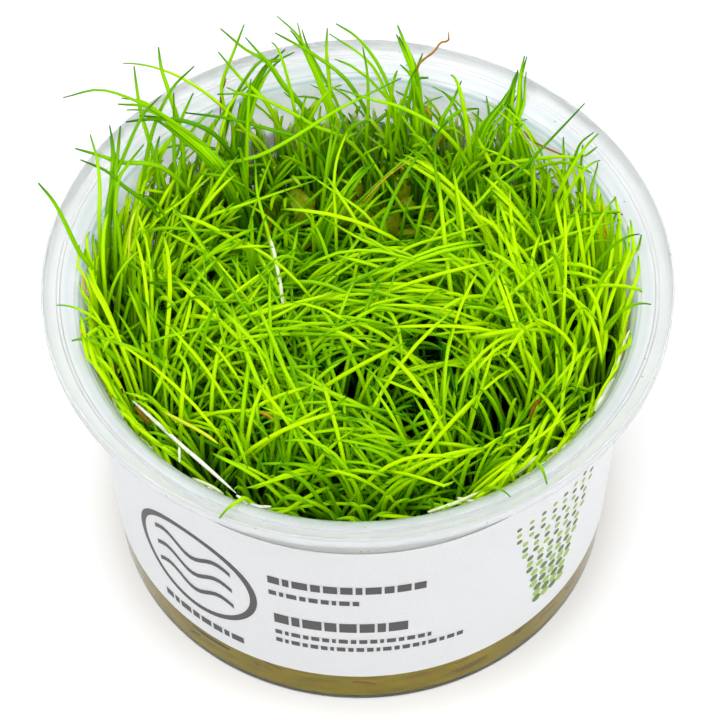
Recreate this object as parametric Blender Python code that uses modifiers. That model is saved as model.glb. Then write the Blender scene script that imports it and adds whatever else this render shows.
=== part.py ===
"""Dwarf hairgrass grown in a clear plastic culture cup.

One turned cup, a paper sleeve round its wall, a disc of culture gel in its
bottom and a mat of grass tufts standing on the gel. Every tuft is one solid:
a sheaf of crowded culms below, and the tapered locks of blades that leave it.

Metres, +Z up. The origin is the centre of the cup's flat base.
"""

import math
import random

import bmesh
import bpy
import numpy as np

MM = 0.001

# Driving dimensions of the cup
CUP_HEIGHT = 55.5 * MM
RIM_RADIUS = 45.0 * MM
BASE_RADIUS = 37.3 * MM
NECK_RADIUS = 39.6 * MM
NECK_HEIGHT = 50.0 * MM
WALL = 0.55 * MM
FLOOR = 0.9 * MM
BASE_CORNER = 3.0 * MM
RIM_SLOPE = math.radians(27.5)
RIM_FILLET = 4.0 * MM
SKIRT_DEPTH = 1.8 * MM
SKIRT_WALL = 0.6 * MM
TURN_STEPS = 48

# Driving dimensions of what the cup carries
GAP = 0.3 * MM
LABEL_BOTTOM = 7.75 * MM
LABEL_TOP = 43.4 * MM
LABEL_THICK = 0.15 * MM
GEL_TOP = 14.0 * MM
MENISCUS = 0.8 * MM

# Driving dimensions of the grass
SEED = 11
LOCKS_PER_TUFT = 10
LOCK_RADIUS = (0.75 * MM, 1.4 * MM)
LONG_BLADE_RADIUS = 0.75 * MM
LOCK_SIDES = 3
SHEAF_TOP = (38.0 * MM, 45.0 * MM)
HOLLOW_SHEAF_TOP = 27.0 * MM
SHEAF_RADIUS = 5.9 * MM
SHEAF_HEIGHTS = (0.0, 0.3, 0.7, 1.0)
SHEAF_SWELL = (0.62, 0.8, 1.0, 0.3)
SHEAF_SIDES = 7
ROOT_DEPTH = 9.0 * MM
ROOT_SPREAD = 3.3 * MM
RISE_SHARE = 0.7
RISE_DRIFT = 0.12
BEND_SHARE = 0.6
PATH_SHARES = (0.0, 0.34, 0.68, 1.0)
LOCK_SWELL = (0.8, 1.0, 0.72, 0.16)
SAMPLES_A_LEG = 8
TRIES = 300
NEAREST_TUFTS = 3
NEARBY = 2.0 * SHEAF_RADIUS

COLLECTION = "dwarf_hairgrass"

COLOURS = {
    "cup": ((0.86, 0.88, 0.90), 0.25),
    "label": ((0.78, 0.79, 0.81), 0.6),
    "gel": ((0.30, 0.26, 0.06), 0.3),
    "grass": ((0.20, 0.50, 0.01), 0.5),
}


def clear_scene():
    """Removes every object of the opened file."""
    for item in list(bpy.data.objects):
        bpy.data.objects.remove(item, do_unlink=True)


def make_collection(name):
    """Returns a new collection linked to the scene."""
    group = bpy.data.collections.new(name)
    bpy.context.scene.collection.children.link(group)
    return group


def make_material(name):
    """Returns a Principled material with one of the named finishes."""
    colour, roughness = COLOURS[name]
    material = bpy.data.materials.new(name)
    material.use_nodes = True
    shader = material.node_tree.nodes["Principled BSDF"]
    shader.inputs["Base Color"].default_value = (*colour, 1.0)
    shader.inputs["Roughness"].default_value = roughness
    shader.inputs["Metallic"].default_value = 0.0
    return material


def wall_radius(z):
    """Outer radius of the cup's tapered wall at height z."""
    share = (z - 1.0 * MM) / (NECK_HEIGHT - 1.0 * MM)
    return BASE_RADIUS + (NECK_RADIUS - BASE_RADIUS) * share


def inner_radius(z):
    """Inner radius of the cup's wall at height z."""
    return wall_radius(z) - WALL


def arc(centre, radius, start, stop, steps):
    """Points of an arc in the (r, z) plane, angles from +r towards +z."""
    points = []
    for i in range(steps + 1):
        angle = start + (stop - start) * i / steps
        r = centre[0] + radius * math.cos(angle)
        z = centre[1] + radius * math.sin(angle)
        points.append((r, z))
    return points


def turned(name, profile, material, group):
    """Turns an (r, z) profile, outer side from top to bottom, into a solid."""
    mesh = bpy.data.meshes.new(name)
    edges = [(i, i + 1) for i in range(len(profile) - 1)]
    if profile[0][0] > MM:
        edges.append((len(profile) - 1, 0))
    mesh.from_pydata([(r, 0.0, z) for r, z in profile], edges, [])
    item = bpy.data.objects.new(name, mesh)
    group.objects.link(item)
    screw = item.modifiers.new("turn", "SCREW")
    screw.steps = TURN_STEPS
    screw.render_steps = TURN_STEPS
    screw.use_merge_vertices = True
    screw.merge_threshold = 0.00001
    mesh.materials.append(material)
    return item


def cup_clearance(points):
    """Distance from points inside or above the cup to its inner surface."""
    r = np.hypot(points[:, 0], points[:, 1])
    z = points[:, 2]
    inside = inner_radius(NECK_HEIGHT)
    bend_r = inside + RIM_FILLET
    from_wall = inner_radius(z) - r
    from_bend = np.hypot(r - bend_r, z - NECK_HEIGHT) - RIM_FILLET
    flange_z = CUP_HEIGHT - (RIM_RADIUS - r) * math.tan(RIM_SLOPE)
    from_flange = (z - flange_z) * math.cos(RIM_SLOPE)
    past_bend = r > bend_r - RIM_FILLET * math.sin(RIM_SLOPE)
    return np.where(z < NECK_HEIGHT, from_wall, np.where(past_bend, from_flange, from_bend))


def cup_profile():
    """The cup's section: floor, inner wall, flange, skirt, outer wall, base."""
    neck_z = NECK_HEIGHT
    inside = inner_radius(neck_z)
    bend = arc((inside + RIM_FILLET, neck_z), RIM_FILLET, math.pi, math.pi / 2 + RIM_SLOPE, 3)
    under = RIM_FILLET - WALL
    back = arc((inside + RIM_FILLET, neck_z), under, math.pi / 2 + RIM_SLOPE, math.pi, 2)
    skirt_in = RIM_RADIUS - SKIRT_WALL
    under_z = CUP_HEIGHT - WALL / math.cos(RIM_SLOPE) - SKIRT_WALL * math.tan(RIM_SLOPE)
    inner_corner = BASE_CORNER - WALL
    inner_turn = (inner_radius(FLOOR + inner_corner) - inner_corner, FLOOR + inner_corner)
    outer_turn = (wall_radius(BASE_CORNER) - BASE_CORNER, BASE_CORNER)
    profile = [(0.0, FLOOR)]
    profile += arc(inner_turn, inner_corner, -math.pi / 2, 0.0, 2)
    profile += bend
    profile += [(RIM_RADIUS, CUP_HEIGHT), (RIM_RADIUS, CUP_HEIGHT - SKIRT_DEPTH)]
    profile += [(skirt_in, CUP_HEIGHT - SKIRT_DEPTH), (skirt_in, under_z)]
    profile += back
    profile += arc(outer_turn, BASE_CORNER, 0.0, -math.pi / 2, 2)
    profile.append((0.0, 0.0))
    return profile


def label_profile():
    """The sleeve's section, from its outer upper edge round."""
    lower = wall_radius(LABEL_BOTTOM) + GAP
    upper = wall_radius(LABEL_TOP) + GAP
    return [
        (upper + LABEL_THICK, LABEL_TOP),
        (lower + LABEL_THICK, LABEL_BOTTOM),
        (lower, LABEL_BOTTOM),
        (upper, LABEL_TOP),
    ]


def gel_profile():
    """The gel's section: flat top with a meniscus, wall and rounded bottom."""
    floor = FLOOR + GAP
    corner = BASE_CORNER - WALL
    edge = inner_radius(GEL_TOP) - GAP
    turn = (inner_radius(floor + corner) - GAP - corner, floor + corner)
    profile = [(0.0, GEL_TOP), (edge - 2 * MENISCUS, GEL_TOP), (edge, GEL_TOP + MENISCUS)]
    profile += arc(turn, corner, 0.0, -math.pi / 2, 2)
    profile.append((0.0, floor))
    return profile


# Places of the tufts: ring radius, count, angle of the first one
RINGS = [
    (0.0 * MM, 1, 0.0),
    (15.5 * MM, 7, 12.0),
    (30.0 * MM, 15, 6.0),
]

# Tufts of the outer ring stand up, except those at the front of the mat
STANDING_RING = 20.0 * MM
FRONT_OF_MAT = -12.0 * MM

# The open hollow in the mat, behind its middle
HOLLOW = np.array((-8.0, 21.0)) * MM
HOLLOW_REACH = 9.0 * MM

# How far and how high the random locks of a tuft reach
LYING_REACH = (3.0 * MM, 17.0 * MM)
LYING_TIP = (45.0 * MM, 56.0 * MM)
LYING_APEX = (51.0 * MM, 59.0 * MM)
STANDING_LEAN = (-9.0 * MM, 7.0 * MM)
STANDING_SWAY = 11.0 * MM
STANDING_TIP = (50.0 * MM, 64.0 * MM)
STANDING_DROP = (4.0 * MM, 9.0 * MM)
LONG_APEX = (-9.0 * MM, 5.0 * MM)

# Tips of the long blades that stand clear of the mat
LONG_TIPS_MM = [
    (-42, 25, 66), (-34, 35, 62), (-32, 31, 66), (-28, 32, 68), (-23, 31, 67),
    (-40, 16, 65), (-37, 19, 65), (-44, 6, 70), (-42, -8, 60), (-40, -12, 57),
    (-19, 38, 66), (-16, 40, 64), (-12, 35, 66), (-11, 41, 65),
    (-3, 40, 64), (7, 40, 64), (9, 33, 62), (14, 29, 65), (18, 26, 61),
    (23, 35, 63), (26, 35, 64), (33, 26, 62), (35, 20, 62), (35, 15, 62),
    (37, 9, 61), (40, 3, 60), (41, -8, 58), (25, -38, 58), (20, -40, 58),
    (-19, -42, 57), (-2, -39, 55),
]


class Tuft:
    """One plantlet: where it stands on the gel, and its locks of culms."""

    def __init__(self, number, place, ring, top):
        self.number = number
        self.place = place
        self.top = top
        self.stands = ring > STANDING_RING and place[1] > FRONT_OF_MAT
        self.outward = place / ring if ring > 0.0 else np.zeros(2)
        self.locks = []
        self.slots = [math.tau * (i + 0.5) / LOCKS_PER_TUFT for i in range(LOCKS_PER_TUFT)]

    def slot_towards(self, flat):
        """The free root slot that faces most towards a place."""
        aim = math.atan2(flat[1] - self.place[1], flat[0] - self.place[0])
        return max(self.slots, key=lambda slot: math.cos(slot - aim))

    def sheaf(self):
        """Path of the sheaf that the locks leave, as points and radii."""
        foot = GEL_TOP + GAP
        points = [(*self.place, foot + (self.top - foot) * share) for share in SHEAF_HEIGHTS]
        return np.array(points), SHEAF_RADIUS * np.array(SHEAF_SWELL)


def make_tufts(chance):
    """Returns the tufts, ring by ring."""
    tufts = []
    for radius, count, first in RINGS:
        for i in range(count):
            angle = math.radians(first + 360.0 * i / count)
            place = np.array((radius * math.cos(angle), radius * math.sin(angle)))
            top = chance.uniform(*SHEAF_TOP)
            if np.hypot(*(place - HOLLOW)) < HOLLOW_REACH:
                top = HOLLOW_SHEAF_TOP
            tufts.append(Tuft(len(tufts) + 1, place, radius, top))
    return tufts


def flat_point(flat, z):
    """A point over the place flat, at height z."""
    return np.array((flat[0], flat[1], z))


def lock_path(tuft, tip, apex, slot):
    """Corners of a lock that rises from the sheaf, bends over and ends at tip."""
    aim = tip[:2] - tuft.place
    spread = np.array((math.cos(slot), math.sin(slot))) * ROOT_SPREAD
    bottom = tuft.top - ROOT_DEPTH
    root = flat_point(tuft.place + spread, bottom)
    rise = bottom + (apex - bottom) * RISE_SHARE
    first = flat_point(tuft.place + spread + aim * RISE_DRIFT, rise)
    second = flat_point(tuft.place + aim * BEND_SHARE, apex)
    corners = []
    for t in PATH_SHARES:
        s = 1.0 - t
        corners.append(root * s**3 + first * 3 * s * s * t + second * 3 * s * t * t + tip * t**3)
    return np.array(corners)


def samples(corners, radii):
    """Points and radii along the legs of a path."""
    points = []
    widths = []
    for i in range(len(corners) - 1):
        for j in range(SAMPLES_A_LEG):
            t = j / SAMPLES_A_LEG
            points.append(corners[i] * (1.0 - t) + corners[i + 1] * t)
            widths.append(radii[i] * (1.0 - t) + radii[i + 1] * t)
    points.append(corners[-1])
    widths.append(radii[-1])
    return np.array(points), np.array(widths)


class Space:
    """What is taken in the cup, so that no two tufts run into each other."""

    def __init__(self):
        self.points = np.zeros((0, 3))
        self.radii = np.zeros(0)
        self.owners = np.zeros(0, int)

    def take(self, points, radii, owner):
        self.points = np.vstack((self.points, points))
        self.radii = np.concatenate((self.radii, radii))
        self.owners = np.concatenate((self.owners, np.full(len(points), owner)))

    def is_free(self, points, radii, owner):
        """True where a path keeps its gap to the cup and to all that is taken."""
        if np.abs(points[:, :2]).max() > RIM_RADIUS - GAP:
            return False
        if (cup_clearance(points) < radii + GAP).any():
            return False
        near = self.owners != -owner
        near &= (self.points > points.min(axis=0) - NEARBY).all(axis=1)
        near &= (self.points < points.max(axis=0) + NEARBY).all(axis=1)
        steps = points[:, None, :] - self.points[near][None, :, :]
        spare = (steps**2).sum(axis=2) - (radii[:, None] + self.radii[near][None, :] + GAP) ** 2
        return bool((spare > 0.0).all())


def grow_lock(space, tuft, tip, apex, radius):
    """Adds a lock to the tuft if it stays clear, and says if it did."""
    slot = tuft.slot_towards(tip)
    corners = lock_path(tuft, tip, apex, slot)
    radii = radius * np.array(LOCK_SWELL)
    points, widths = samples(corners, radii)
    if not space.is_free(points, widths, tuft.number):
        return False
    space.take(points, widths, tuft.number)
    tuft.locks.append((corners, radii))
    tuft.slots.remove(slot)
    return True


def grow_long_blades(space, tufts, chance):
    """Gives each long tip to the nearest tuft that reaches it clear."""
    for place in LONG_TIPS_MM:
        tip = np.array(place) * MM
        near = sorted(tufts, key=lambda tuft: np.hypot(*(tuft.place - tip[:2])))
        for attempt in range(TRIES):
            tuft = near[attempt % NEAREST_TUFTS]
            apex = tip[2] + chance.uniform(*LONG_APEX)
            if tuft.slots and grow_lock(space, tuft, tip, apex, LONG_BLADE_RADIUS):
                break
        else:
            print("no clear way to the long tip", place)


def lying_tip(tuft, chance):
    """Random tip and highest point of a lock that bends over in the mat."""
    angle = chance.uniform(0.0, math.tau)
    reach = chance.uniform(*LYING_REACH)
    flat = tuft.place + np.array((math.cos(angle), math.sin(angle))) * reach
    return flat_point(flat, chance.uniform(*LYING_TIP)), chance.uniform(*LYING_APEX)


def standing_tip(tuft, chance):
    """Random tip and highest point of a lock that leans out over the rim."""
    side = np.array((-tuft.outward[1], tuft.outward[0]))
    flat = tuft.place + tuft.outward * chance.uniform(*STANDING_LEAN)
    flat = flat + side * chance.uniform(-STANDING_SWAY, STANDING_SWAY)
    height = chance.uniform(*STANDING_TIP)
    return flat_point(flat, height), height - chance.uniform(*STANDING_DROP)


def grow_locks(space, tufts, chance):
    """Fills every tuft up, in turns, with random locks that stay clear."""
    for count in range(1, LOCKS_PER_TUFT + 1):
        for tuft in tufts:
            if len(tuft.locks) >= count:
                continue
            for attempt in range(TRIES):
                tip, apex = (standing_tip if tuft.stands else lying_tip)(tuft, chance)
                thin, thick = LOCK_RADIUS
                radius = thick - (thick - thin) * attempt / TRIES
                if np.hypot(*(tip[:2] - HOLLOW)) < HOLLOW_REACH:
                    continue
                if grow_lock(space, tuft, tip, apex, radius):
                    break


def section(name, sides, group):
    """A flat closed outline of unit radius that a path is swept with."""
    data = bpy.data.curves.new(name, "CURVE")
    data.dimensions = "2D"
    data.fill_mode = "NONE"
    spline = data.splines.new("POLY")
    spline.points.add(sides - 1)
    for i, point in enumerate(spline.points):
        angle = math.tau * i / sides
        point.co = (math.cos(angle), math.sin(angle), 0.0, 1.0)
    spline.use_cyclic_u = True
    item = bpy.data.objects.new(name, data)
    item.hide_render = True
    item.display_type = "WIRE"
    group.objects.link(item)
    return item


def swept_object(name, paths, outline, group):
    """Sweeps the outline along paths of points and radii, as a mesh object."""
    data = bpy.data.curves.new(name, "CURVE")
    data.dimensions = "3D"
    data.bevel_mode = "OBJECT"
    data.bevel_object = outline
    data.use_fill_caps = True
    for points, radii in paths:
        spline = data.splines.new("POLY")
        spline.points.add(len(points) - 1)
        for corner, place, radius in zip(spline.points, points, radii):
            corner.co = (*place, 1.0)
            corner.radius = radius
    curve = bpy.data.objects.new(name, data)
    group.objects.link(curve)
    bpy.context.view_layer.update()
    evaluated = curve.evaluated_get(bpy.context.evaluated_depsgraph_get())
    mesh = bpy.data.meshes.new_from_object(evaluated)
    bpy.data.objects.remove(curve)
    work = bmesh.new()
    work.from_mesh(mesh)
    bmesh.ops.remove_doubles(work, verts=work.verts, dist=0.00001)
    bmesh.ops.recalc_face_normals(work, faces=work.faces)
    work.to_mesh(mesh)
    work.free()
    item = bpy.data.objects.new(name, mesh)
    group.objects.link(item)
    return item


def make_tuft(tuft, outlines, parts, cutters, material):
    """Builds one tuft: its sheaf, with the locks joined to it."""
    name = f"tuft_{tuft.number:02d}"
    sheaf_outline, lock_outline = outlines
    item = swept_object(name, [tuft.sheaf()], sheaf_outline, parts)
    item.data.materials.append(material)
    locks = swept_object(name + "_locks", tuft.locks, lock_outline, cutters)
    locks.hide_render = True
    locks.display_type = "WIRE"
    union = item.modifiers.new("locks", "BOOLEAN")
    union.operation = "UNION"
    union.solver = "EXACT"
    union.object = locks


def main():
    clear_scene()
    parts = make_collection(COLLECTION)
    cutters = make_collection("guides")
    chance = random.Random(SEED)
    turned("cup", cup_profile(), make_material("cup"), parts)
    turned("label", label_profile(), make_material("label"), parts)
    turned("gel", gel_profile(), make_material("gel"), parts)
    tufts = make_tufts(chance)
    space = Space()
    for tuft in tufts:
        space.take(*samples(*tuft.sheaf()), -tuft.number)
    grow_long_blades(space, tufts, chance)
    grow_locks(space, tufts, chance)
    sheaf_outline = section("sheaf_outline", SHEAF_SIDES, cutters)
    lock_outline = section("lock_outline", LOCK_SIDES, cutters)
    for tuft in tufts:
        make_tuft(tuft, (sheaf_outline, lock_outline), parts, cutters, make_material("grass"))
    print("tufts", len(tufts), "locks", sum(len(tuft.locks) for tuft in tufts))


main()
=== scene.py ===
# %% [markdown]
# Dwarf hairgrass in its culture cup. The plant is a tangle of thin round stems, called culms, that a
# nursery grows from a few cuttings on a disc of gel. The cup is clear plastic with a paper sleeve.
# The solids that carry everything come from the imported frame, and this script dresses them.

import math

import bpy
import numpy as np
from mathutils import Matrix, Vector


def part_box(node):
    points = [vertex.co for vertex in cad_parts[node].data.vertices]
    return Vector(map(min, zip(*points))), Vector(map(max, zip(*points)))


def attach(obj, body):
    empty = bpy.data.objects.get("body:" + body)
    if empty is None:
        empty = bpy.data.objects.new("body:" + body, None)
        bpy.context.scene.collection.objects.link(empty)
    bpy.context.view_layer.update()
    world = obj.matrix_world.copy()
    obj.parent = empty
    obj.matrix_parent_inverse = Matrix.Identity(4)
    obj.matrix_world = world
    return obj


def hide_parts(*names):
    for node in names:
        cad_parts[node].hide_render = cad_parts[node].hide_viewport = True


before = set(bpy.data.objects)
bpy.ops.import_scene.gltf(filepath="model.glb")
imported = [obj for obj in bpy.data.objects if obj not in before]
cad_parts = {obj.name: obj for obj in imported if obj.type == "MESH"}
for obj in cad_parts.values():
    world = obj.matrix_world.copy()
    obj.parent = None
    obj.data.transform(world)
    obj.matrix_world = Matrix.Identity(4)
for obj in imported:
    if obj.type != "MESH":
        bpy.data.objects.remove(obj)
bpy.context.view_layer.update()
bpy.ops.object.select_all(action="DESELECT")

MM = 0.001
CUP_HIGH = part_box("cup")[1]
LABEL_LOW, LABEL_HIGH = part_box("label")
GEL_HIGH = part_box("gel")[1]
RIM_RADIUS = CUP_HIGH.x
CUP_HEIGHT = CUP_HIGH.z
TUFT_NODES = sorted(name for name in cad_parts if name.startswith("tuft"))
print("cup", round(RIM_RADIUS / MM, 2), "mm rim radius,", round(CUP_HEIGHT / MM, 2), "mm high")
print("tufts", len(TUFT_NODES))

# %% [markdown]
# The cup is a turned shape, so two lines describe it: the wall, a straight taper, and the flange,
# which slopes down to the opening and rolls over into the wall. Both are functions, because the sleeve
# is wrapped on the first and the grass has to stay inside both.

# %% The cup's lines
BASE_RADIUS = 37.3 * MM
NECK_RADIUS = 39.6 * MM
NECK_HEIGHT = 50.0 * MM
FOOT_HEIGHT = 1.0 * MM
WALL = 0.55 * MM
FLOOR = 0.9 * MM
BASE_CORNER = 1.0 * MM
RIM_SLOPE = math.radians(27.5)
RIM_FILLET = 4.0 * MM
SKIRT_DEPTH = 1.8 * MM
SKIRT_WALL = 0.6 * MM
BEYOND = 60.0 * MM
CLEARANCE = 0.1 * MM


def wall_radius(z):
    """Outer radius of the tapered wall at height z."""
    return BASE_RADIUS + (NECK_RADIUS - BASE_RADIUS) * (z - FOOT_HEIGHT) / (NECK_HEIGHT - FOOT_HEIGHT)


def room_radius(z):
    """How far out a thing may reach at height z and stay inside the cup or above its flange."""
    inside = wall_radius(NECK_HEIGHT) - WALL
    bend = RIM_FILLET * RIM_FILLET - np.clip(z - NECK_HEIGHT, 0.0, RIM_FILLET) ** 2
    over_bend = inside + RIM_FILLET - np.sqrt(np.maximum(bend, 0.0))
    over_flange = RIM_RADIUS - (CUP_HEIGHT - z) / math.tan(RIM_SLOPE)
    over_flange = np.where(z > CUP_HEIGHT, BEYOND, over_flange)
    bend_top = NECK_HEIGHT + RIM_FILLET * math.cos(RIM_SLOPE)
    above = np.where(z < bend_top, over_bend, over_flange)
    return np.where(z < NECK_HEIGHT, wall_radius(z) - WALL, above)


print("wall at the gel", round(wall_radius(GEL_HIGH.z) / MM, 2), "mm, at the neck", NECK_RADIUS / MM, "mm")

# %% [markdown]
# The camera stands in front of the cup and looks down at it by 52 degrees, from so far away that the
# picture has little perspective. It was fitted to the rim's ellipse. The tilt puts the cup where the
# picture has it, and the roll is the small lean of the hand that held the camera.

# %% The camera
CAMERA_DISTANCE = 450.0 * MM
CAMERA_ELEVATION = math.radians(52.17)
CAMERA_TILT = math.radians(-1.54)
CAMERA_PAN = math.radians(0.02)
CAMERA_ROLL = math.radians(-0.91)
FOCAL_PIXELS = 3166.29
FRAME_PIXELS = 720.0
SENSOR = 36.0

rim_centre = Vector((0.0, 0.0, CUP_HEIGHT))
back = Vector((0.0, -math.cos(CAMERA_ELEVATION), math.sin(CAMERA_ELEVATION)))
turn = Matrix.Rotation(math.pi / 2 - CAMERA_ELEVATION, 4, "X")
turn = turn @ Matrix.Rotation(-CAMERA_PAN, 4, "Y") @ Matrix.Rotation(CAMERA_TILT, 4, "X")
turn = turn @ Matrix.Rotation(CAMERA_ROLL, 4, "Z")
bpy.ops.object.camera_add()
camera = bpy.context.active_object
camera.name = "camera"
camera.matrix_world = Matrix.Translation(rim_centre + back * CAMERA_DISTANCE) @ turn
camera.data.sensor_width = SENSOR
camera.data.lens = FOCAL_PIXELS / FRAME_PIXELS * SENSOR
camera.data.clip_start = 10 * MM
bpy.context.scene.camera = camera
print("lens", round(camera.data.lens, 1), "mm at", CAMERA_DISTANCE, "m")

# %% [markdown]
# A material is a small network of nodes. Colours are written as the hex values that a screen shows,
# and one function turns them into the linear numbers that light is counted in. A second function adds
# one node with its settings, values and links, and short ones for ramps, ranges, noise, bumps and
# products stand on it. Every pattern reads Object coordinates, so it is measured in metres on the piece.

# %% Helpers for materials
def colour(code):
    """Linear colour of an sRGB hex code."""
    parts = [int(code[i : i + 2], 16) / 255.0 for i in (1, 3, 5)]
    linear = [p / 12.92 if p <= 0.04045 else ((p + 0.055) / 1.055) ** 2.4 for p in parts]
    return (*linear, 1.0)


def add_node(tree, kind, settings=None, values=None, links=None):
    """Adds a node: settings are its own, values fill its sockets and links feed them."""
    node = tree.nodes.new(kind)
    for name, value in (settings or {}).items():
        setattr(node, name, value)
    for name, value in (values or {}).items():
        node.inputs[name].default_value = value
    for name, source in (links or {}).items():
        tree.links.new(source, node.inputs[name])
    return node


def new_finish(name, values):
    """A material whose Principled shader has the given values."""
    material = bpy.data.materials.new(name)
    material.use_nodes = True
    shader = material.node_tree.nodes["Principled BSDF"]
    for socket, value in values.items():
        shader.inputs[socket].default_value = value
    return material


def feed(material, links):
    """Links the outputs of nodes to the sockets of a material's shader."""
    tree = material.node_tree
    for socket, source in links.items():
        tree.links.new(source, tree.nodes["Principled BSDF"].inputs[socket])
    return material


def scattering(depth):
    """Shader values of a milky body that light of every colour enters by a depth."""
    return {"Subsurface Weight": 1.0, "Subsurface Scale": depth, "Subsurface Radius": (1.0, 1.0, 1.0)}


def object_place(tree):
    """Where a point is on its piece, in metres."""
    return add_node(tree, "ShaderNodeTexCoord").outputs["Object"]


def ramp(tree, source, *stops):
    """Turns a value to a colour: each stop is a place from 0 to 1 and a hex code."""
    node = add_node(tree, "ShaderNodeValToRGB", links={"Fac": source})
    elements = node.color_ramp.elements
    for i in (0, -1):
        elements[i].position = stops[i][0]
        elements[i].color = colour(stops[i][1])
    for position, code in stops[1:-1]:
        elements.new(position).color = colour(code)
    return node.outputs["Color"]


def noise(tree, place, size, detail):
    """An uneven value whose patches have a given size."""
    values = {"Scale": 1.0 / size, "Detail": detail}
    return add_node(tree, "ShaderNodeTexNoise", values=values, links={"Vector": place}).outputs["Fac"]


def mapped(tree, value, limits):
    """A value brought from one range to another."""
    return add_node(tree, "ShaderNodeMapRange", values=limits, links={"Value": value}).outputs["Result"]


def bump(tree, height, strength, depth):
    """A surface that rises and falls with a value."""
    values = {"Strength": strength, "Distance": depth}
    return add_node(tree, "ShaderNodeBump", values=values, links={"Height": height}).outputs["Normal"]


def product(tree, first, second):
    """One colour multiplied by another."""
    settings = {"data_type": "RGBA", "blend_type": "MULTIPLY"}
    return add_node(tree, "ShaderNodeMix", settings, {0: 1.0}, {6: first, 7: second}).outputs[2]


print("lit culm", [round(part, 3) for part in colour("#A8E000")[:3]])

# %% [markdown]
# The studio is a wide white table under a bright white sky. A large lamp high on the left gives the
# culms their small highlights and their dark sides. Two weaker ones, on the right and in front, open
# the shadows, and one behind the cup shines through its wall.

# %% The studio
FLOOR_RADIUS = 8.0
SKY_STRENGTH = 0.88
LAMPS = {
    "key": ((-0.35, -0.35, 0.9), 0.9, 3.9),
    "fill": ((0.7, -0.3, 0.6), 0.9, 2.4),
    "front": ((0.1, -1.0, 0.6), 0.9, 2.2),
    "back": ((0.1, 0.8, 0.3), 0.8, 1.9),
}

world = bpy.data.worlds.new("soft_sky")
world.use_nodes = True
world.node_tree.nodes["Background"].inputs["Color"].default_value = colour("#FFFFFF")
world.node_tree.nodes["Background"].inputs["Strength"].default_value = SKY_STRENGTH
bpy.context.scene.world = world
bpy.context.scene.view_settings.view_transform = "Standard"

for lamp_name, (place, size, power) in LAMPS.items():
    bpy.ops.object.light_add(type="AREA", location=place)
    lamp = bpy.context.active_object
    lamp.name = lamp_name
    lamp.data.shape = "DISK"
    lamp.data.size = size
    lamp.data.energy = power
    lamp.rotation_euler = (rim_centre - lamp.location).to_track_quat("-Z", "Y").to_euler()

bpy.ops.mesh.primitive_circle_add(vertices=96, radius=FLOOR_RADIUS, fill_type="NGON")
table = bpy.context.active_object
table.name = "table"
paint = new_finish("white_table", {"Base Color": colour("#F4F4F4"), "Roughness": 0.7})
table.data.materials.append(paint)
print("lamps", list(LAMPS))

# %% [markdown]
# A turned piece is made as on a lathe: one vertex is extruded along the outline, and the outline is
# spun round the axis. Spinning leaves a seam and many points on the axis, so doubles are merged and the
# normals recalculated before the piece is shaded smooth between its sharp edges.

# %% A lathe
SPIN_STEPS = 180
MERGE = 0.002 * MM
SHARP = math.radians(40.0)


def arc(centre, radius, start, stop, steps):
    """Points (r, z) of an arc, angles counted from outwards to upwards."""
    angles = [start + (stop - start) * i / steps for i in range(steps + 1)]
    return [(centre[0] + radius * math.cos(a), centre[1] + radius * math.sin(a)) for a in angles]


def turned(name, outline, material, steps=SPIN_STEPS):
    """Spins an outline of (r, z) points round the z axis."""
    bpy.ops.object.select_all(action="DESELECT")
    bpy.ops.mesh.primitive_plane_add(size=MM)
    piece = bpy.context.active_object
    bpy.ops.object.mode_set(mode="EDIT")
    bpy.ops.mesh.merge(type="CENTER")
    bpy.ops.transform.translate(value=(outline[0][0], 0.0, outline[0][1]))
    for (r0, z0), (r1, z1) in zip(outline, outline[1:]):
        bpy.ops.mesh.extrude_region_move(TRANSFORM_OT_translate={"value": (r1 - r0, 0.0, z1 - z0)})
    bpy.ops.mesh.select_all(action="SELECT")
    bpy.ops.mesh.spin(steps=steps, angle=math.tau, center=(0.0, 0.0, 0.0), axis=(0.0, 0.0, 1.0))
    bpy.ops.mesh.select_all(action="SELECT")
    bpy.ops.mesh.remove_doubles(threshold=MERGE)
    bpy.ops.mesh.dissolve_degenerate(threshold=MERGE)
    bpy.ops.mesh.normals_make_consistent(inside=False)
    bpy.ops.object.mode_set(mode="OBJECT")
    piece.name = name
    piece.data.materials.append(material)
    bpy.ops.object.shade_smooth_by_angle(angle=SHARP)
    return piece


def finish_piece(piece, slot, *nodes):
    """Lets a finished piece ride with the cup and hides the solids that it stands for. Its slot is not
    used.
    """
    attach(piece, "root")
    if nodes:
        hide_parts(*nodes)
    print(piece.name, len(piece.data.polygons), "faces")


# %% [markdown]
# The cup is moulded polypropylene, translucent with a faint cool tint: it scatters a share of the light
# and lets the rest through. Where the gel wets the wall, light passes both of its faces almost unbent,
# so the wall looks clear there. That is a second finish, whose lower index stands for the wetted faces.
# The gloss is slightly uneven, and thin lines of painted shade run round the rolled edge, where it curves
# over.

# %% The cup's material
MILKY_SHARE = 0.42
SCATTER = 2.0 * MM
HAZE_SIZE = 3.0 * MM
HAZE_DEPTH = 0.05 * MM
GLOSS = (0.08, 0.20)
PLAIN = "#F0F3F6"
LINED = (39.4, 45.2)
# Painted shade: thin lines where the rolled edge curves, each a radius in mm, a width in mm and a colour.
ROLL_SHADE_LINES = (
    (39.8, 0.3, "#A8C4CC"),
    (40.4, 0.15, "#CCDAE2"),
    (41.5, 0.75, "#E2E9F1"),
)
SPECK = "#B4C0BE"
SPECK_PITCH = 2.6 * MM
SPECK_SHARE = 0.05


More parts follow.
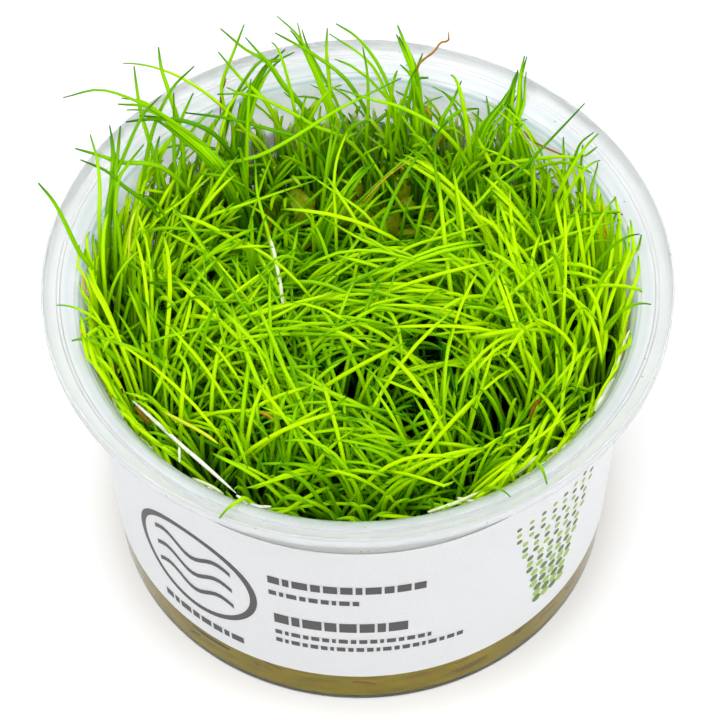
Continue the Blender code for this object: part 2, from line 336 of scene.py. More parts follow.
def flange_tint_and_shade(tree, place):
    """Colour of the plastic: plain, with painted shade in thin lines round the rolled edge, and a few
    specks.
    """
    level = {"operation": "MULTIPLY"}
    flat = add_node(tree, "ShaderNodeVectorMath", level, {1: (1.0, 1.0, 0.0)}, {0: place})
    reach = add_node(tree, "ShaderNodeVectorMath", {"operation": "LENGTH"}, links={0: flat.outputs[0]})
    share = mapped(tree, reach.outputs["Value"], {"From Min": LINED[0] * MM, "From Max": LINED[1] * MM})
    stops = []
    for radius, width, code in ROLL_SHADE_LINES:
        for side, shade in ((-width, PLAIN), (0.0, code), (width, PLAIN)):
            stops.append(((radius + side - LINED[0]) / (LINED[1] - LINED[0]), shade))
    # Painted shade in thin lines round the rolled edge.
    lines = ramp(tree, share, (0.0, PLAIN), *stops, (1.0, PLAIN))
    pitch = {"Scale": 1.0 / SPECK_PITCH}
    cells = add_node(tree, "ShaderNodeTexVoronoi", values=pitch, links={"Vector": place})
    specks = ramp(tree, cells.outputs["Distance"], (SPECK_SHARE, SPECK), (SPECK_SHARE * 1.5, "#FFFFFF"))
    return product(tree, lines, specks)


def polypropylene(name, milkiness, index, mirror):
    """Moulded polypropylene that scatters a share of the light and lets the rest through."""
    values = {"IOR": index, "Transmission Weight": 1.0 - milkiness, "Specular IOR Level": mirror}
    material = new_finish(name, values | scattering(SCATTER))
    tree = material.node_tree
    place = object_place(tree)
    haze = noise(tree, place, HAZE_SIZE, 3.0)
    gloss = mapped(tree, haze, {"To Min": GLOSS[0], "To Max": GLOSS[1]})
    dented = bump(tree, haze, 0.25, HAZE_DEPTH)
    return feed(material, {"Base Color": flange_tint_and_shade(tree, place), "Roughness": gloss, "Normal": dented})


plastic = polypropylene("milky_polypropylene", MILKY_SHARE, 1.49, 0.5)
clear_plastic = polypropylene("clear_polypropylene", 0.0, 1.2, 0.1)
print("finishes", plastic.name, clear_plastic.name)

# %% The cup
STEPS_ON_FLANGE = ((42.3, 0.1), (42.8, 0.16))
STEP_WIDTH = 0.2 * MM
BEAD_RADIUS = 44.3 * MM
EDGE_ROUND = 0.25 * MM


def flange_z(r):
    """Height of the flange's plain upper face."""
    return CUP_HEIGHT - (RIM_RADIUS - r) * math.tan(RIM_SLOPE)


def cup_outline():
    """Floor, inner wall, rolled edge, stepped flange, skirt, outer wall and base."""
    inside = wall_radius(NECK_HEIGHT) - WALL
    roll = (inside + RIM_FILLET, NECK_HEIGHT)
    wetted = GEL_HIGH.z
    under_slope = CUP_HEIGHT - WALL / math.cos(RIM_SLOPE) - SKIRT_WALL * math.tan(RIM_SLOPE)
    inner_corner = BASE_CORNER - WALL
    low = FLOOR + inner_corner
    outline = [(0.0, FLOOR)]
    outline += arc((wall_radius(low) - WALL - inner_corner, low), inner_corner, -math.pi / 2, 0.0, 8)
    outline.append((wall_radius(wetted) - WALL, wetted))
    outline += arc(roll, RIM_FILLET, math.pi, math.pi / 2 + RIM_SLOPE, 10)
    drop = 0.0
    for radius, depth in STEPS_ON_FLANGE:
        r = radius * MM
        outline += [(r, flange_z(r) - drop), (r + STEP_WIDTH, flange_z(r) - depth * MM)]
        drop = depth * MM
    outline += [(BEAD_RADIUS, flange_z(BEAD_RADIUS) - drop)]
    rounded = RIM_RADIUS - EDGE_ROUND
    outline += arc((rounded, CUP_HEIGHT - EDGE_ROUND), EDGE_ROUND, math.pi / 2, 0.0, 4)
    outline += [(RIM_RADIUS, CUP_HEIGHT - SKIRT_DEPTH)]
    outline += [(RIM_RADIUS - SKIRT_WALL, CUP_HEIGHT - SKIRT_DEPTH), (RIM_RADIUS - SKIRT_WALL, under_slope)]
    outline += arc(roll, RIM_FILLET - WALL, math.pi / 2 + RIM_SLOPE, math.pi, 8)
    outline.append((wall_radius(wetted), wetted))
    outline += arc((wall_radius(BASE_CORNER) - BASE_CORNER, BASE_CORNER), BASE_CORNER, 0.0, -math.pi / 2, 8)
    outline.append((0.0, 0.0))
    return outline


cup = turned("moulded_cup", cup_outline(), plastic)
cup.data.materials.append(clear_plastic)
for face in cup.data.polygons:
    face.material_index = int(0.5 * FLOOR < face.center.z < GEL_HIGH.z)
finish_piece(cup, "cup", "cup")

# %% [markdown]
# The gel fills the lowest quarter of the cup and touches its wall all round, with a small meniscus. It
# is an olive jelly, stained in flat layers by plant sap. Its outline sinks a hair's breadth into the
# plastic, so that no air gap turns the wall grey.

# %% The gel
MENISCUS = 0.8 * MM
GEL_TOP = GEL_HIGH.z - MENISCUS
TOUCH = 0.02 * MM
SUNK = 0.03 * MM
STAIN_SIZE = 5.0 * MM
STAIN_STRETCH = (1.0, 1.0, 3.0)


def culture_gel():
    """Culture gel: wet, and olive in flat layers."""
    material = new_finish("culture_gel", {"Roughness": 0.2, "IOR": 1.34, "Specular IOR Level": 0.1})
    tree = material.node_tree
    links = {"Vector": object_place(tree)}
    layers = add_node(tree, "ShaderNodeMapping", values={"Scale": STAIN_STRETCH}, links=links)
    stain = noise(tree, layers.outputs["Vector"], STAIN_SIZE, 4.0)
    return feed(material, {"Base Color": ramp(tree, stain, (0.3, "#7C6A00"), (0.75, "#9E8A04"))})


def gel_outline():
    """Top with its meniscus, wall and rounded bottom."""
    corner = BASE_CORNER - WALL
    low = FLOOR - SUNK + corner
    edge = wall_radius(GEL_TOP) - WALL + SUNK
    top = arc((edge - 2 * MENISCUS, GEL_TOP + 2 * MENISCUS), 2 * MENISCUS, -math.pi / 2, -math.pi / 6, 5)
    outline = [(0.0, GEL_TOP)] + [(r * MM, GEL_TOP) for r in range(4, 34, 3)] + top
    outline.append((edge, GEL_TOP + MENISCUS))
    outline += arc((wall_radius(low) - WALL + SUNK - corner, low), corner, 0.0, -math.pi / 2, 8)
    outline.append((0.0, FLOOR - SUNK))
    return outline


gel = turned("culture_gel", gel_outline(), culture_gel(), 120)
finish_piece(gel, "gel", "gel")

# %% [markdown]
# The sleeve is coated paper, glued round the wall. It is modelled as a thin turned band on the wall
# itself. It lets some light through. Its inner side is bare and whiter, and partly painted light on the
# wall's dim inside. Its print is generic: a ring with waves, rows of small blocks and a fan of dots, in the
# greys and greens of such a label. Each mark is a flat shape, cut into short pieces and then wrapped on the
# cone.

# %% The sleeve
PAPER = 0.12 * MM
PAPER_SCATTER = 0.6 * MM
FIBRE = 0.25 * MM
FIBRE_DEPTH = 0.01 * MM


def paper(name, low, high):
    """Paper: even, almost matt, lets some light through and has a very faint fibre."""
    material = new_finish(name, {"Roughness": 0.55, "IOR": 1.45} | scattering(PAPER_SCATTER))
    tree = material.node_tree
    fibre = noise(tree, object_place(tree), FIBRE, 2.0)
    tint = ramp(tree, fibre, (0.3, low), (0.6, high))
    return feed(material, {"Base Color": tint, "Normal": bump(tree, fibre, 0.15, FIBRE_DEPTH)})


def sleeve_outline():
    """A thin band on the wall's outside, from its outer upper edge round."""
    top, bottom = LABEL_HIGH.z, LABEL_LOW.z
    inner_top = wall_radius(top) + TOUCH
    inner_bottom = wall_radius(bottom) + TOUCH
    corners = [(inner_top + PAPER, top), (inner_bottom + PAPER, bottom)]
    corners += [(inner_bottom, bottom), (inner_top, top), (inner_top + PAPER, top)]
    return corners


sleeve = turned("paper_sleeve", sleeve_outline(), paper("coated_paper", "#D4D6D9", "#DADCDF"))
# The bare inner side is whiter, partly as painted light on the dim inside of the wall.
sleeve.data.materials.append(paper("bare_paper", "#FAFBFC", "#FFFFFF"))
for face in sleeve.data.polygons:
    face.material_index = int(face.normal.x * face.center.x + face.normal.y * face.center.y < 0.0)
finish_piece(sleeve, "label", "label")

# %% The print's flat marks
INK = 0.02 * MM
BAR_PIECE = 1.0 * MM


def joined(pieces):
    """Joins pieces to one, whose place and size are in its mesh."""
    bpy.ops.object.select_all(action="DESELECT")
    for piece in pieces:
        piece.select_set(True)
    bpy.context.view_layer.objects.active = pieces[0]
    bpy.ops.object.transform_apply(location=True, rotation=True, scale=True)
    bpy.ops.object.join()
    return bpy.context.active_object


def flat_bar(along, height, length, thick):
    """A bar on the unrolled sleeve, from its left end."""
    pieces = max(2, round(length / BAR_PIECE))
    middle = (along + length / 2, height, 0.0)
    bpy.ops.mesh.primitive_grid_add(x_subdivisions=pieces, y_subdivisions=1, size=1.0, location=middle)
    bar = bpy.context.active_object
    bar.scale = (length, thick, 1.0)
    bpy.ops.object.transform_apply(location=True, rotation=True, scale=True)
    return bar


def flat_dot(along, height, radius):
    """A round dot, cut into wedges so that it can bend."""
    place = (along, height, 0.0)
    bpy.ops.mesh.primitive_circle_add(vertices=20, radius=radius, fill_type="TRIFAN", location=place)
    return bpy.context.active_object


def flat_ring(along, height, radius, thick):
    """A ring: a circle's edge, extruded and drawn in."""
    bpy.ops.mesh.primitive_circle_add(vertices=64, radius=radius, fill_type="NOTHING")
    bpy.ops.object.mode_set(mode="EDIT")
    bpy.ops.mesh.extrude_region_move()
    share = (radius - thick) / radius
    bpy.ops.transform.resize(value=(share, share, 1.0))
    bpy.ops.object.mode_set(mode="OBJECT")
    ring = bpy.context.active_object
    ring.location = (along, height, 0.0)
    return ring


def flat_wave(along, height, length, thick, swing, waves):
    """A bar whose points are moved up and down along a sine."""
    wave = flat_bar(along, height, length, thick)
    for point in wave.data.vertices:
        share = (point.co.x - along) / length
        point.co.y += swing * math.sin(math.tau * waves * share)
    return wave


def wrapped(name, marks, material):
    """Joins flat marks, wraps them on the sleeve and gives the ink its thickness."""
    ink = joined(marks)
    bpy.ops.object.mode_set(mode="EDIT")
    bpy.ops.mesh.select_all(action="SELECT")
    bpy.ops.mesh.quads_convert_to_tris()
    bpy.ops.mesh.remove_doubles(threshold=MERGE)
    bpy.ops.object.mode_set(mode="OBJECT")
    for point in ink.data.vertices:
        along, height = point.co.xy
        radius = wall_radius(height) + TOUCH + PAPER + INK
        angle = along / wall_radius((LABEL_LOW.z + LABEL_HIGH.z) / 2)
        point.co = (radius * math.sin(angle), -radius * math.cos(angle), height)
    thickness = ink.modifiers.new("ink", "SOLIDIFY")
    thickness.thickness = INK
    thickness.offset = 1.0
    bpy.ops.object.modifier_apply(modifier="ink")
    ink.name = name
    ink.data.materials.clear()
    ink.data.materials.append(material)
    return ink


# %% The print
BLOCK_ROWS = (
    (-13.5, 33.2, 22.5, 1.9, 11),
    (-13.5, 29.6, 13.0, 1.2, 9),
    (-13.0, 22.4, 19.5, 2.5, 8),
    (-13.0, 18.4, 23.0, 1.1, 17),
    (-13.0, 16.0, 28.0, 1.1, 21),
    (-33.5, 11.6, 15.0, 1.6, 8),
)
BLOCK_WIDTHS = (1.0, 0.55, 1.3, 0.8, 1.15)
BLOCK_GAP = 0.42 * MM
RING = (-26.5, 25.5, 11.0, 1.1)
WAVE_HEIGHTS = (21.0, 25.5, 30.0)
WAVE = (14.0, 1.1, 1.2)
WAVE_START = -33.5
WAVE_COUNT = 1.5
DOT_ROWS = 15
DOT_PITCH = 1.75
DOT_RADIUS = 0.84
DOT_SHRINK = 0.03
FAN_SPREAD = 0.02
DOT_CENTRE = 31.0
DOT_LOW = 13.5


def block_row(along, height, length, thick, count):
    """A row of small blocks of uneven width, as heavy as a line of print."""
    widths = [BLOCK_WIDTHS[i % len(BLOCK_WIDTHS)] for i in range(count)]
    share = (length - BLOCK_GAP * (count - 1)) / sum(widths)
    marks = []
    for width in widths:
        marks.append(flat_bar(along, height, width * share, thick))
        along += width * share + BLOCK_GAP
    return marks


def in_metres(*values):
    """Values in millimetres as metres."""
    return [value * MM for value in values]


def grey_marks():
    """The ring with its waves, and the rows of blocks."""
    marks = [flat_ring(*in_metres(*RING))]
    for *place_and_size, count in BLOCK_ROWS:
        marks += block_row(*in_metres(*place_and_size), count)
    for height in WAVE_HEIGHTS:
        marks.append(flat_wave(*in_metres(WAVE_START, height, *WAVE), WAVE_COUNT))
    return marks


def green_marks(odd):
    """Every other dot of a fan whose dots get smaller upwards."""
    marks = []
    for row in range(DOT_ROWS):
        count = 4 + row // 3
        for i in range(count):
            if (row + i) % 2 == odd:
                along = DOT_CENTRE + (i - (count - 1) / 2) * DOT_PITCH * (1.0 + FAN_SPREAD * row)
                radius = DOT_RADIUS - DOT_SHRINK * row
                marks.append(flat_dot(*in_metres(along, DOT_LOW + row * DOT_PITCH, radius)))
    return marks


INKS = (
    ("grey_ink", "#383638", "sleeve_print_grey", grey_marks()),
    ("green_ink", "#4C6826", "sleeve_print_green", green_marks(0)),
    ("light_green_ink", "#8CAA3C", "sleeve_print_light_green", green_marks(1)),
)
for ink_name, code, piece_name, marks in INKS:
    ink = new_finish(ink_name, {"Base Color": colour(code), "Roughness": 0.5})
    finish_piece(wrapped(piece_name, marks, ink), "label")

# %% [markdown]
# A culm is a thin round stem of even thickness that ends in a point. Thousands are needed, so a culm has
# only a few dozen faces, and the tubes of a whole tuft are worked out at once with numpy and become one
# mesh. Two attributes go with it: how far along the culm a point is, and its tone, which is how fresh the
# culm is and, in the mat, painted light as well.

# %% Tubes for culms
CULM_SIDES = 5
CULM_SHARES = np.array((0.0, 0.2, 0.32, 0.42, 0.5, 0.58, 0.66, 0.74, 0.83, 0.92, 0.97, 1.0))
CULM_TAPER = np.array((0.85, 1.0, 1.0, 1.0, 1.0, 1.0, 1.0, 0.98, 0.95, 0.84, 0.62, 0.2))
WALL_START = 0.96


def unit(vectors):
    """The vectors with a length of one."""
    return vectors / np.linalg.norm(vectors, axis=-1, keepdims=True)


def curve_points(corners, shares):
    """Points of cubic curves; corners is (culms, 4, 3) and the result (culms, shares, 3)."""
    t = shares[None, :, None]
    s = 1.0 - t
    first, second, third, last = (corners[:, i : i + 1, :] for i in range(4))
    return first * s**3 + second * 3 * s * s * t + third * 3 * s * t * t + last * t**3


def smooth_path(points, shares):
    """Points of a smooth line through the given ones."""
    points = np.array(points)
    padded = np.concatenate((2 * points[:1] - points[1:2], points, 2 * points[-1:] - points[-2:-1]))
    place = shares * (len(points) - 1)
    leg = np.minimum(place.astype(int), len(points) - 2)
    t = (place - leg)[:, None]
    before, start, stop, after = (padded[leg + i] for i in range(4))
    bend = 2 * before - 5 * start + 4 * stop - after
    twist = 3 * start - before - 3 * stop + after
    return start + 0.5 * (t * (stop - before) + t**2 * bend + t**3 * twist)


def held_in(points, radii, ring=RIM_RADIUS):
    """Presses points that would pass the wall, the flange or a ring back along it."""
    flat = np.hypot(points[..., 0], points[..., 1])
    room = np.minimum(room_radius(points[..., 2]), ring) - radii - CLEARANCE
    share = flat / room
    soft = WALL_START + (1 - WALL_START) * np.tanh((share - WALL_START) / (1 - WALL_START))
    kept = np.where(share > WALL_START, soft * room, flat)
    held = points.copy()
    held[..., :2] *= (kept / np.maximum(flat, MM))[..., None]
    return held


def tube_piece(name, paths, radii, tones, finish, *nodes, sides=CULM_SIDES, slot="grass"):
    """One piece of closed tubes round the paths, with the attributes along and tone."""
    count, rings = paths.shape[:2]
    aim = unit(np.gradient(paths, axis=1))
    lean = paths[:, -1] - paths[:, 0]
    side = np.stack((-lean[:, 1], lean[:, 0], np.full(count, 0.02 * MM)), axis=1)[:, None, :]
    side = unit(side - aim * (side * aim).sum(axis=2, keepdims=True))
    other = np.cross(aim, side)
    angles = np.arange(sides) * math.tau / sides
    ring = side[:, :, None, :] * np.cos(angles)[:, None] + other[:, :, None, :] * np.sin(angles)[:, None]
    points = paths[:, :, None, :] + ring * radii[:, :, None, None]
    first = (np.arange(count) * rings * sides)[:, None, None]
    level = first + (np.arange(rings - 1) * sides)[None, :, None]
    low = level + np.arange(sides)
    beside = level + (np.arange(sides) + 1) % sides
    quads = np.stack((low, beside, beside + sides, low + sides), axis=-1).reshape(-1, 4)
    roots = (first[:, :, 0] + np.arange(sides)[::-1]).reshape(-1, sides)
    tips = (first[:, :, 0] + (rings - 1) * sides + np.arange(sides)).reshape(-1, sides)
    mesh = bpy.data.meshes.new(name)
    mesh.from_pydata(points.reshape(-1, 3).tolist(), [], quads.tolist() + roots.tolist() + tips.tolist())
    along = np.broadcast_to(np.linspace(0, 1, rings)[None, :, None], (count, rings, sides))
    tone = np.broadcast_to(tones[:, None, None], (count, rings, sides))
    for key, values in (("along", along), ("tone", tone)):
        attribute = mesh.attributes.new(key, "FLOAT", "POINT")
        attribute.data.foreach_set("value", np.ascontiguousarray(values, dtype=np.float32).ravel())
    mesh.shade_smooth()
    piece = bpy.data.objects.new(name, mesh)
    bpy.context.collection.objects.link(piece)
    mesh.materials.append(finish)
    finish_piece(piece, slot, *nodes)


print("faces a culm", CULM_SIDES * (len(CULM_SHARES) - 1) + 2)

# %% [markdown]
# Where the culms go is read from the frame. Each tuft's solid stands on a foot, and its locks end in
# small triangles, so both can be found. Every lock gets culms that end where it ends.

# %% The tufts' feet and the tips of their locks
TIP_EDGE = (0.12 * MM, 0.5 * MM)
LOWEST_TIP = GEL_TOP + 20 * MM


def corner_points(node):
    """The triangles of a solid, as (triangles, 3, 3)."""
    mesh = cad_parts[node].data
    points = np.array([v.co for v in mesh.vertices])
    return points[np.array([tuple(p.vertices) for p in mesh.polygons])]


def foot_and_tips(node):
    """Centre of a tuft's foot, and the ends of its locks."""
    triangles = corner_points(node)
    edges = np.linalg.norm(triangles - np.roll(triangles, 1, axis=1), axis=2)
    small = (edges.max(axis=1) < TIP_EDGE[1]) & (edges.min(axis=1) > TIP_EDGE[0])
    ends = triangles[small].mean(axis=1)
    tips = []
    for end in ends[np.argsort(-ends[:, 2])]:
        if end[2] > LOWEST_TIP and all(np.linalg.norm(end - tip) > MM for tip in tips):
            tips.append(end)
    points = triangles.reshape(-1, 3)
    foot = points[points[:, 2] < points[:, 2].min() + 0.1 * MM].mean(axis=0)
    return foot, np.array(tips)


tufts = {node: foot_and_tips(node) for node in TUFT_NODES}
print("lock tips found", sum(len(tips) for foot, tips in tufts.values()))

# %% [markdown]
# The mat is made of bunches. The culms of a bunch rise together from one place on the gel, lean over the
# same way and fan out a little. Some stay straight and slanting, and others rise first and then hang
# over. In the middle a bunch may lean anywhere. At the wall it follows the wall, mostly towards the
# back. More bunches rise along both sides, where culms touch the flange, and short ones stand before the
# back of the wall. Single strays lie over them all. The mat leaves a hollow behind its middle, where the
# eye sees down to the gel, four dark pockets in front, and room over the pale pieces that lie on top.

# %% The mat's bunches
# All chance comes from one seeded generator, so that each run grows the same plant.
random = np.random.default_rng(5)
# Each group: number of bunches, culms in one, heights, reaches in mm, swing in mm and droops.
MIDDLE = (940, (1, 4), (0.0, 1.0), (12.0, 26.0), 4.0, (0.0, 0.8))
SIDES = (85, (1, 4), (0.35, 1.0), (10.0, 26.0), 3.0, (0.0, 0.8))
BACK = (140, (1, 4), (0.1, 0.65), (3.0, 14.0), 2.0, (0.0, 0.9))
STRAYS = (240, (1, 1), (0.5, 1.0), (22.0, 42.0), 4.5, (0.0, 0.8))
ROOT_LEVEL = GEL_TOP - 1.0 * MM
ROOT_RING = 36.0 * MM
WALL_RING = 27.0 * MM
EDGE_ROOTS = (32.0, 36.5)
EDGE_SHARE = 0.22
AIM_RING = 34.0 * MM
ALONG_WALL_SHARE = 0.3
BACKWARDS_SHARE = 0.75
WALL_REACH = 22.0 * MM
TALL_REACH = 12.0 * MM
SIDE_ANGLES = (-62.0, 18.0)
SIDE_ROOTS = (35.0, 37.2)
BACK_ANGLES = (35.0, 145.0)
BACK_ROOTS = (30.0, 36.8)
BACK_START = 13.0 * MM
BACK_SHARE = 0.45
STRAY_RING = 24.0 * MM
BUNCH_FAN = 3.4 * MM
LOW_APEX = 35.0 * MM
APEX_RANGE = 21.0 * MM
CULM_RADIUS = (0.23 * MM, 0.36 * MM)


def round_axis(reach, angle):
    """Places x and y at a reach from the axis, at angles round it."""
    return np.stack((reach * np.cos(angle), reach * np.sin(angle)), axis=-1)


def quarter_turned(vectors):
    """The flat vectors, turned to the left by a quarter."""
    return np.stack((-vectors[:, 1], vectors[:, 0]), axis=1)


def chance(share, count):
    """Picks a share of the count by chance."""
    return random.uniform(0, 1, count) < share


def on_disc(count, radius):
    """Places spread evenly over a disc."""
    angle = random.uniform(0.0, math.tau, count)
    return round_axis(radius * np.sqrt(random.uniform(0.0, 1.0, count)), angle)


def middle_bunches(count):
    """Where the bunches stand, which way they lean, and how far they may reach."""
    roots = on_disc(count, ROOT_RING)
    at_edge = chance(EDGE_SHARE, count)
    moved = random.uniform(*EDGE_ROOTS, count) * MM / np.linalg.norm(roots, axis=1)
    roots[at_edge] *= moved[at_edge, None]
    aims = on_disc(count, AIM_RING) - roots
    ring = np.linalg.norm(roots, axis=1)
    along_wall = unit(quarter_turned(roots))
    backwards = np.sign(along_wall[:, 1]) * np.where(chance(BACKWARDS_SHARE, count), 1, -1)
    along_wall *= backwards[:, None]
    along_wall += random.normal(0.0, 0.8, (count, 2))
    at_wall = (ring > WALL_RING) & chance(ALONG_WALL_SHARE, count)
    aims[at_wall] = along_wall[at_wall]
    return roots, aims, np.where(at_wall, WALL_REACH, BEYOND)


def side_bunches(count):
    """Bunches that rise along the left and the right of the wall, towards its back."""
    side = np.where(chance(0.5, count), -1.0, 1.0)
    angle = np.radians(random.uniform(*SIDE_ANGLES, count))
    mirror = np.stack((side, np.ones(count)), axis=1)
    roots = round_axis(random.uniform(*SIDE_ROOTS, count) * MM, angle) * mirror
    aims = quarter_turned(round_axis(1.0, angle)) * mirror
    return roots, aims + random.normal(0.0, 0.55, (count, 2))


def back_bunches(count):
    """Bunches that stand before the back of the wall and lean mostly along it."""
    angle = np.radians(random.uniform(*BACK_ANGLES, count))
    roots = round_axis(random.uniform(*BACK_ROOTS, count) * MM, angle)
    return roots, random.normal(0.0, 1.0, (count, 2)) * (1.0, 0.5)


def kept_low(roots):
    """How much lower culms stay at the back, so that the hollow is open to the eye."""
    return np.where(roots[:, 1] > BACK_START, BACK_SHARE, 1.0)


def grown(group, roots, aims, share=1.0, power=1.0, stretch=0.0, longest=BEYOND):
    """Corners of a group's curves, and how high each culm is in the mat, from 0 to 1.

    A droop of 0 is a straight slanting culm, and one of 1 rises first and then hangs over. With no
    droops in the group, tall culms droop more.
    """
    bunches, culms, heights, reaches, swing, droops = group
    sizes = random.integers(culms[0], culms[1] + 1, bunches)
    heights = random.uniform(*heights, bunches) ** power * share
    reaches = np.minimum(random.uniform(*reaches, bunches) * MM + heights * stretch, longest)
    swings = random.normal(0.0, swing, bunches) * MM
    droops = random.uniform(*droops, bunches) if droops else heights
    which = np.repeat(np.arange(bunches), sizes)
    count = len(which)
    root = roots[which] + random.normal(0.0, 0.7, (count, 2)) * MM
    aim = unit(aims)[which]
    across = quarter_turned(aim)
    reach = (reaches[which] * random.uniform(0.7, 1.15, count))[:, None]
    fan = random.normal(0.0, 1.0, (count, 1)) * BUNCH_FAN
    droop = np.clip(droops[which] + random.normal(0.0, 0.1, count), 0.0, 1.0)
    swing = (swings[which] + random.normal(0.0, 1.2, count) * MM) * (0.3 + 0.7 * droop)
    swing = swing[:, None]
    height = np.clip(heights[which] + random.normal(0.0, 0.08, count), 0.0, 1.0)
    apex = LOW_APEX + APEX_RANGE * height
    # The two middle corners bend the culm: at shares of its reach and of its apex, changed by its droop.
    corners = np.zeros((count, 4, 3))
    corners[:, 0, :2] = root
    corners[:, 0, 2] = ROOT_LEVEL
    corners[:, 1, :2] = root + aim * reach * (0.3 - 0.2 * droop[:, None]) + across * swing * 0.3
    corners[:, 1, 2] = apex * (0.7 + 0.24 * droop)
    corners[:, 2, :2] = root + aim * reach * (0.62 - 0.07 * droop[:, None]) + across * (swing + fan * 0.5)
    corners[:, 2, 2] = apex * (0.94 + 0.1 * droop)
    corners[:, 3, :2] = root + aim * reach + across * fan
    corners[:, 3, 2] = apex + random.uniform(-2.0, 2.0, count) * MM + (2.0 - 5.0 * droop) * MM
    return corners, height


def mat_corners():
    """Corners and heights of the culms of the mat's four groups."""
    roots, aims, longest = middle_bunches(MIDDLE[0])
    power = np.interp(np.linalg.norm(roots, axis=1), (12.0 * MM, 30.0 * MM), (2.0, 0.65))
    groups = [grown(MIDDLE, roots, aims, kept_low(roots), power, TALL_REACH, longest)]
    groups.append(grown(SIDES, *side_bunches(SIDES[0])))
    groups.append(grown(BACK, *back_bunches(BACK[0])))
    roots = on_disc(STRAYS[0], ROOT_RING)
    aims = on_disc(STRAYS[0], STRAY_RING) - roots
    groups.append(grown(STRAYS, roots, aims, kept_low(roots)))
    return [np.concatenate(parts) for parts in zip(*groups)]


# %% The mat's hollow, pockets and tones
HOLLOW = np.array((-4.5, 17.0)) * MM
HOLLOW_SIZE = np.array((17.5, 8.0)) * MM
HOLLOW_DEPTH = 8.0 * MM
MAT_TOP = 50.0 * MM
MAT_RING = 38.8 * MM
WALL_GAP = 2.2 * MM
SIDE_ROOM = 2.4 * MM
FINE_STEPS = np.array((0.0, 0.25, 0.5, 0.75))
POCKETS_MM = ((-1.3, -13.0, 4.0), (6.3, -20.6, 3.8), (18.9, -20.9, 3.4), (10.8, -8.5, 3.0))
POCKET_DEPTH = 18.0 * MM
FREE_LINES_MM = (
    ((-31.9, -16.4, 48.5), (-25.2, -23.8, 48.5), (-22.4, -26.7, 48.5), (-17.2, -32.3, 48.5)),
    ((-31.6, -17.4, 48.5), (-30.5, -19.0, 48.5), (-29.3, -20.2, 48.0)),
    ((-27.6, -19.3, 50.0), (-22.3, -22.8, 50.0), (-19.7, -25.0, 50.0)),
)
LINE_ROOM = 0.9 * MM
LEFT_OVER = {"hollow": 0.16, "pocket": 0.18, "line": 0.03}
# The tone of a mat culm: a base, and painted light that rises with its height in the mat.
LOW_TONE = 0.02
HIGH_TONE = 0.64
# Painted light: how much lighter culms are made outwards, backwards and to the right, and over which
# millimetres.
PAINTED_LIGHT_BY_PLACE = ((0.42, 16.0, 33.0), (0.5, 8.0, 20.0), (0.3, 5.0, 25.0))
TONE_SPREAD = 0.24


def as_seen(points):
    """Where the sight lines through points cross the level of the mat's top."""
    rise = (MAT_TOP - points[..., 2]) / math.tan(CAMERA_ELEVATION)
    return np.stack((points[..., 0], points[..., 1] - rise), axis=-1)


def crosses_hollow(paths):
    """Whether a path stands between the eye and the bottom of the hollow."""
    inside = np.linalg.norm((as_seen(paths) - HOLLOW) / HOLLOW_SIZE, axis=-1) < 1.0
    return (inside & (paths[..., 2] > LOWEST_TIP - HOLLOW_DEPTH)).sum(axis=1) > 1


def covers(paths, line, reach, depth):
    """Whether a path lies over a line as the eye sees it, or less than a depth under it."""
    fine = paths[:, :-1, None, :] + (paths[:, 1:, None, :] - paths[:, :-1, None, :]) * FINE_STEPS[:, None]
    fine = fine.reshape(len(paths), -1, 3)
    away = np.linalg.norm(as_seen(fine)[:, :, None, :] - as_seen(line)[None, None, :, :], axis=-1)
    above = fine[:, :, None, 2] > line[None, None, :, 2] - depth
    return ((away < reach) & above).any(axis=(1, 2))


def mat_paths():
    """Paths and tones of all culms of the mat: freshness at random, and painted light by height and place.
    """
    corners, height = mat_corners()
    ends = corners[:, 3, :2]
    sideways = np.abs(ends[:, :1]) / np.linalg.norm(ends, axis=1)[:, None]
    rings = MAT_RING - WALL_GAP * random.uniform(0.0, 1.0, (len(corners), 1)) ** 2
    rings += SIDE_ROOM * sideways**4
    paths = held_in(curve_points(corners, CULM_SHARES), CULM_RADIUS[1], rings)
    keep = ~crosses_hollow(paths) | chance(LEFT_OVER["hollow"], len(paths))
    for x, y, radius in POCKETS_MM:
        spot = np.array(((x * MM, y * MM, MAT_TOP),))
        covered = covers(paths, spot, radius * MM, POCKET_DEPTH)
        keep &= ~covered | chance(LEFT_OVER["pocket"], len(paths))
    for points in FREE_LINES_MM:
        line = smooth_path(np.array(points) * MM, np.linspace(0.0, 1.0, 24))
        keep &= ~covers(paths, line, LINE_ROOM, LINE_ROOM) | chance(LEFT_OVER["line"], len(paths))
    # Painted light: culms that stand higher in the mat get a lighter tone.
    tones = LOW_TONE + HIGH_TONE * height
    middle = paths[:, 5]
    places = (np.linalg.norm(middle[:, :2], axis=1), middle[:, 1], middle[:, 0])
    for place, (weight, start, stop) in zip(places, PAINTED_LIGHT_BY_PLACE):
        tones += weight * np.interp(place, (start * MM, stop * MM), (0.0, 1.0))
    tones = np.clip(tones + random.normal(0.0, TONE_SPREAD, len(paths)), 0.0, 1.0)
    return paths[keep], tones[keep]


# %% [markdown]
# The solids' locks show where blades reach up and over the rim. Each gets culms from the tuft's foot.
# The blades that stand clear of the mat are what one sees against the white, so the main ones are placed
# one by one: how many culms lie together, then points from where they leave the mat up to the tip. The
# long culms that cross the hollow are placed in the same way.

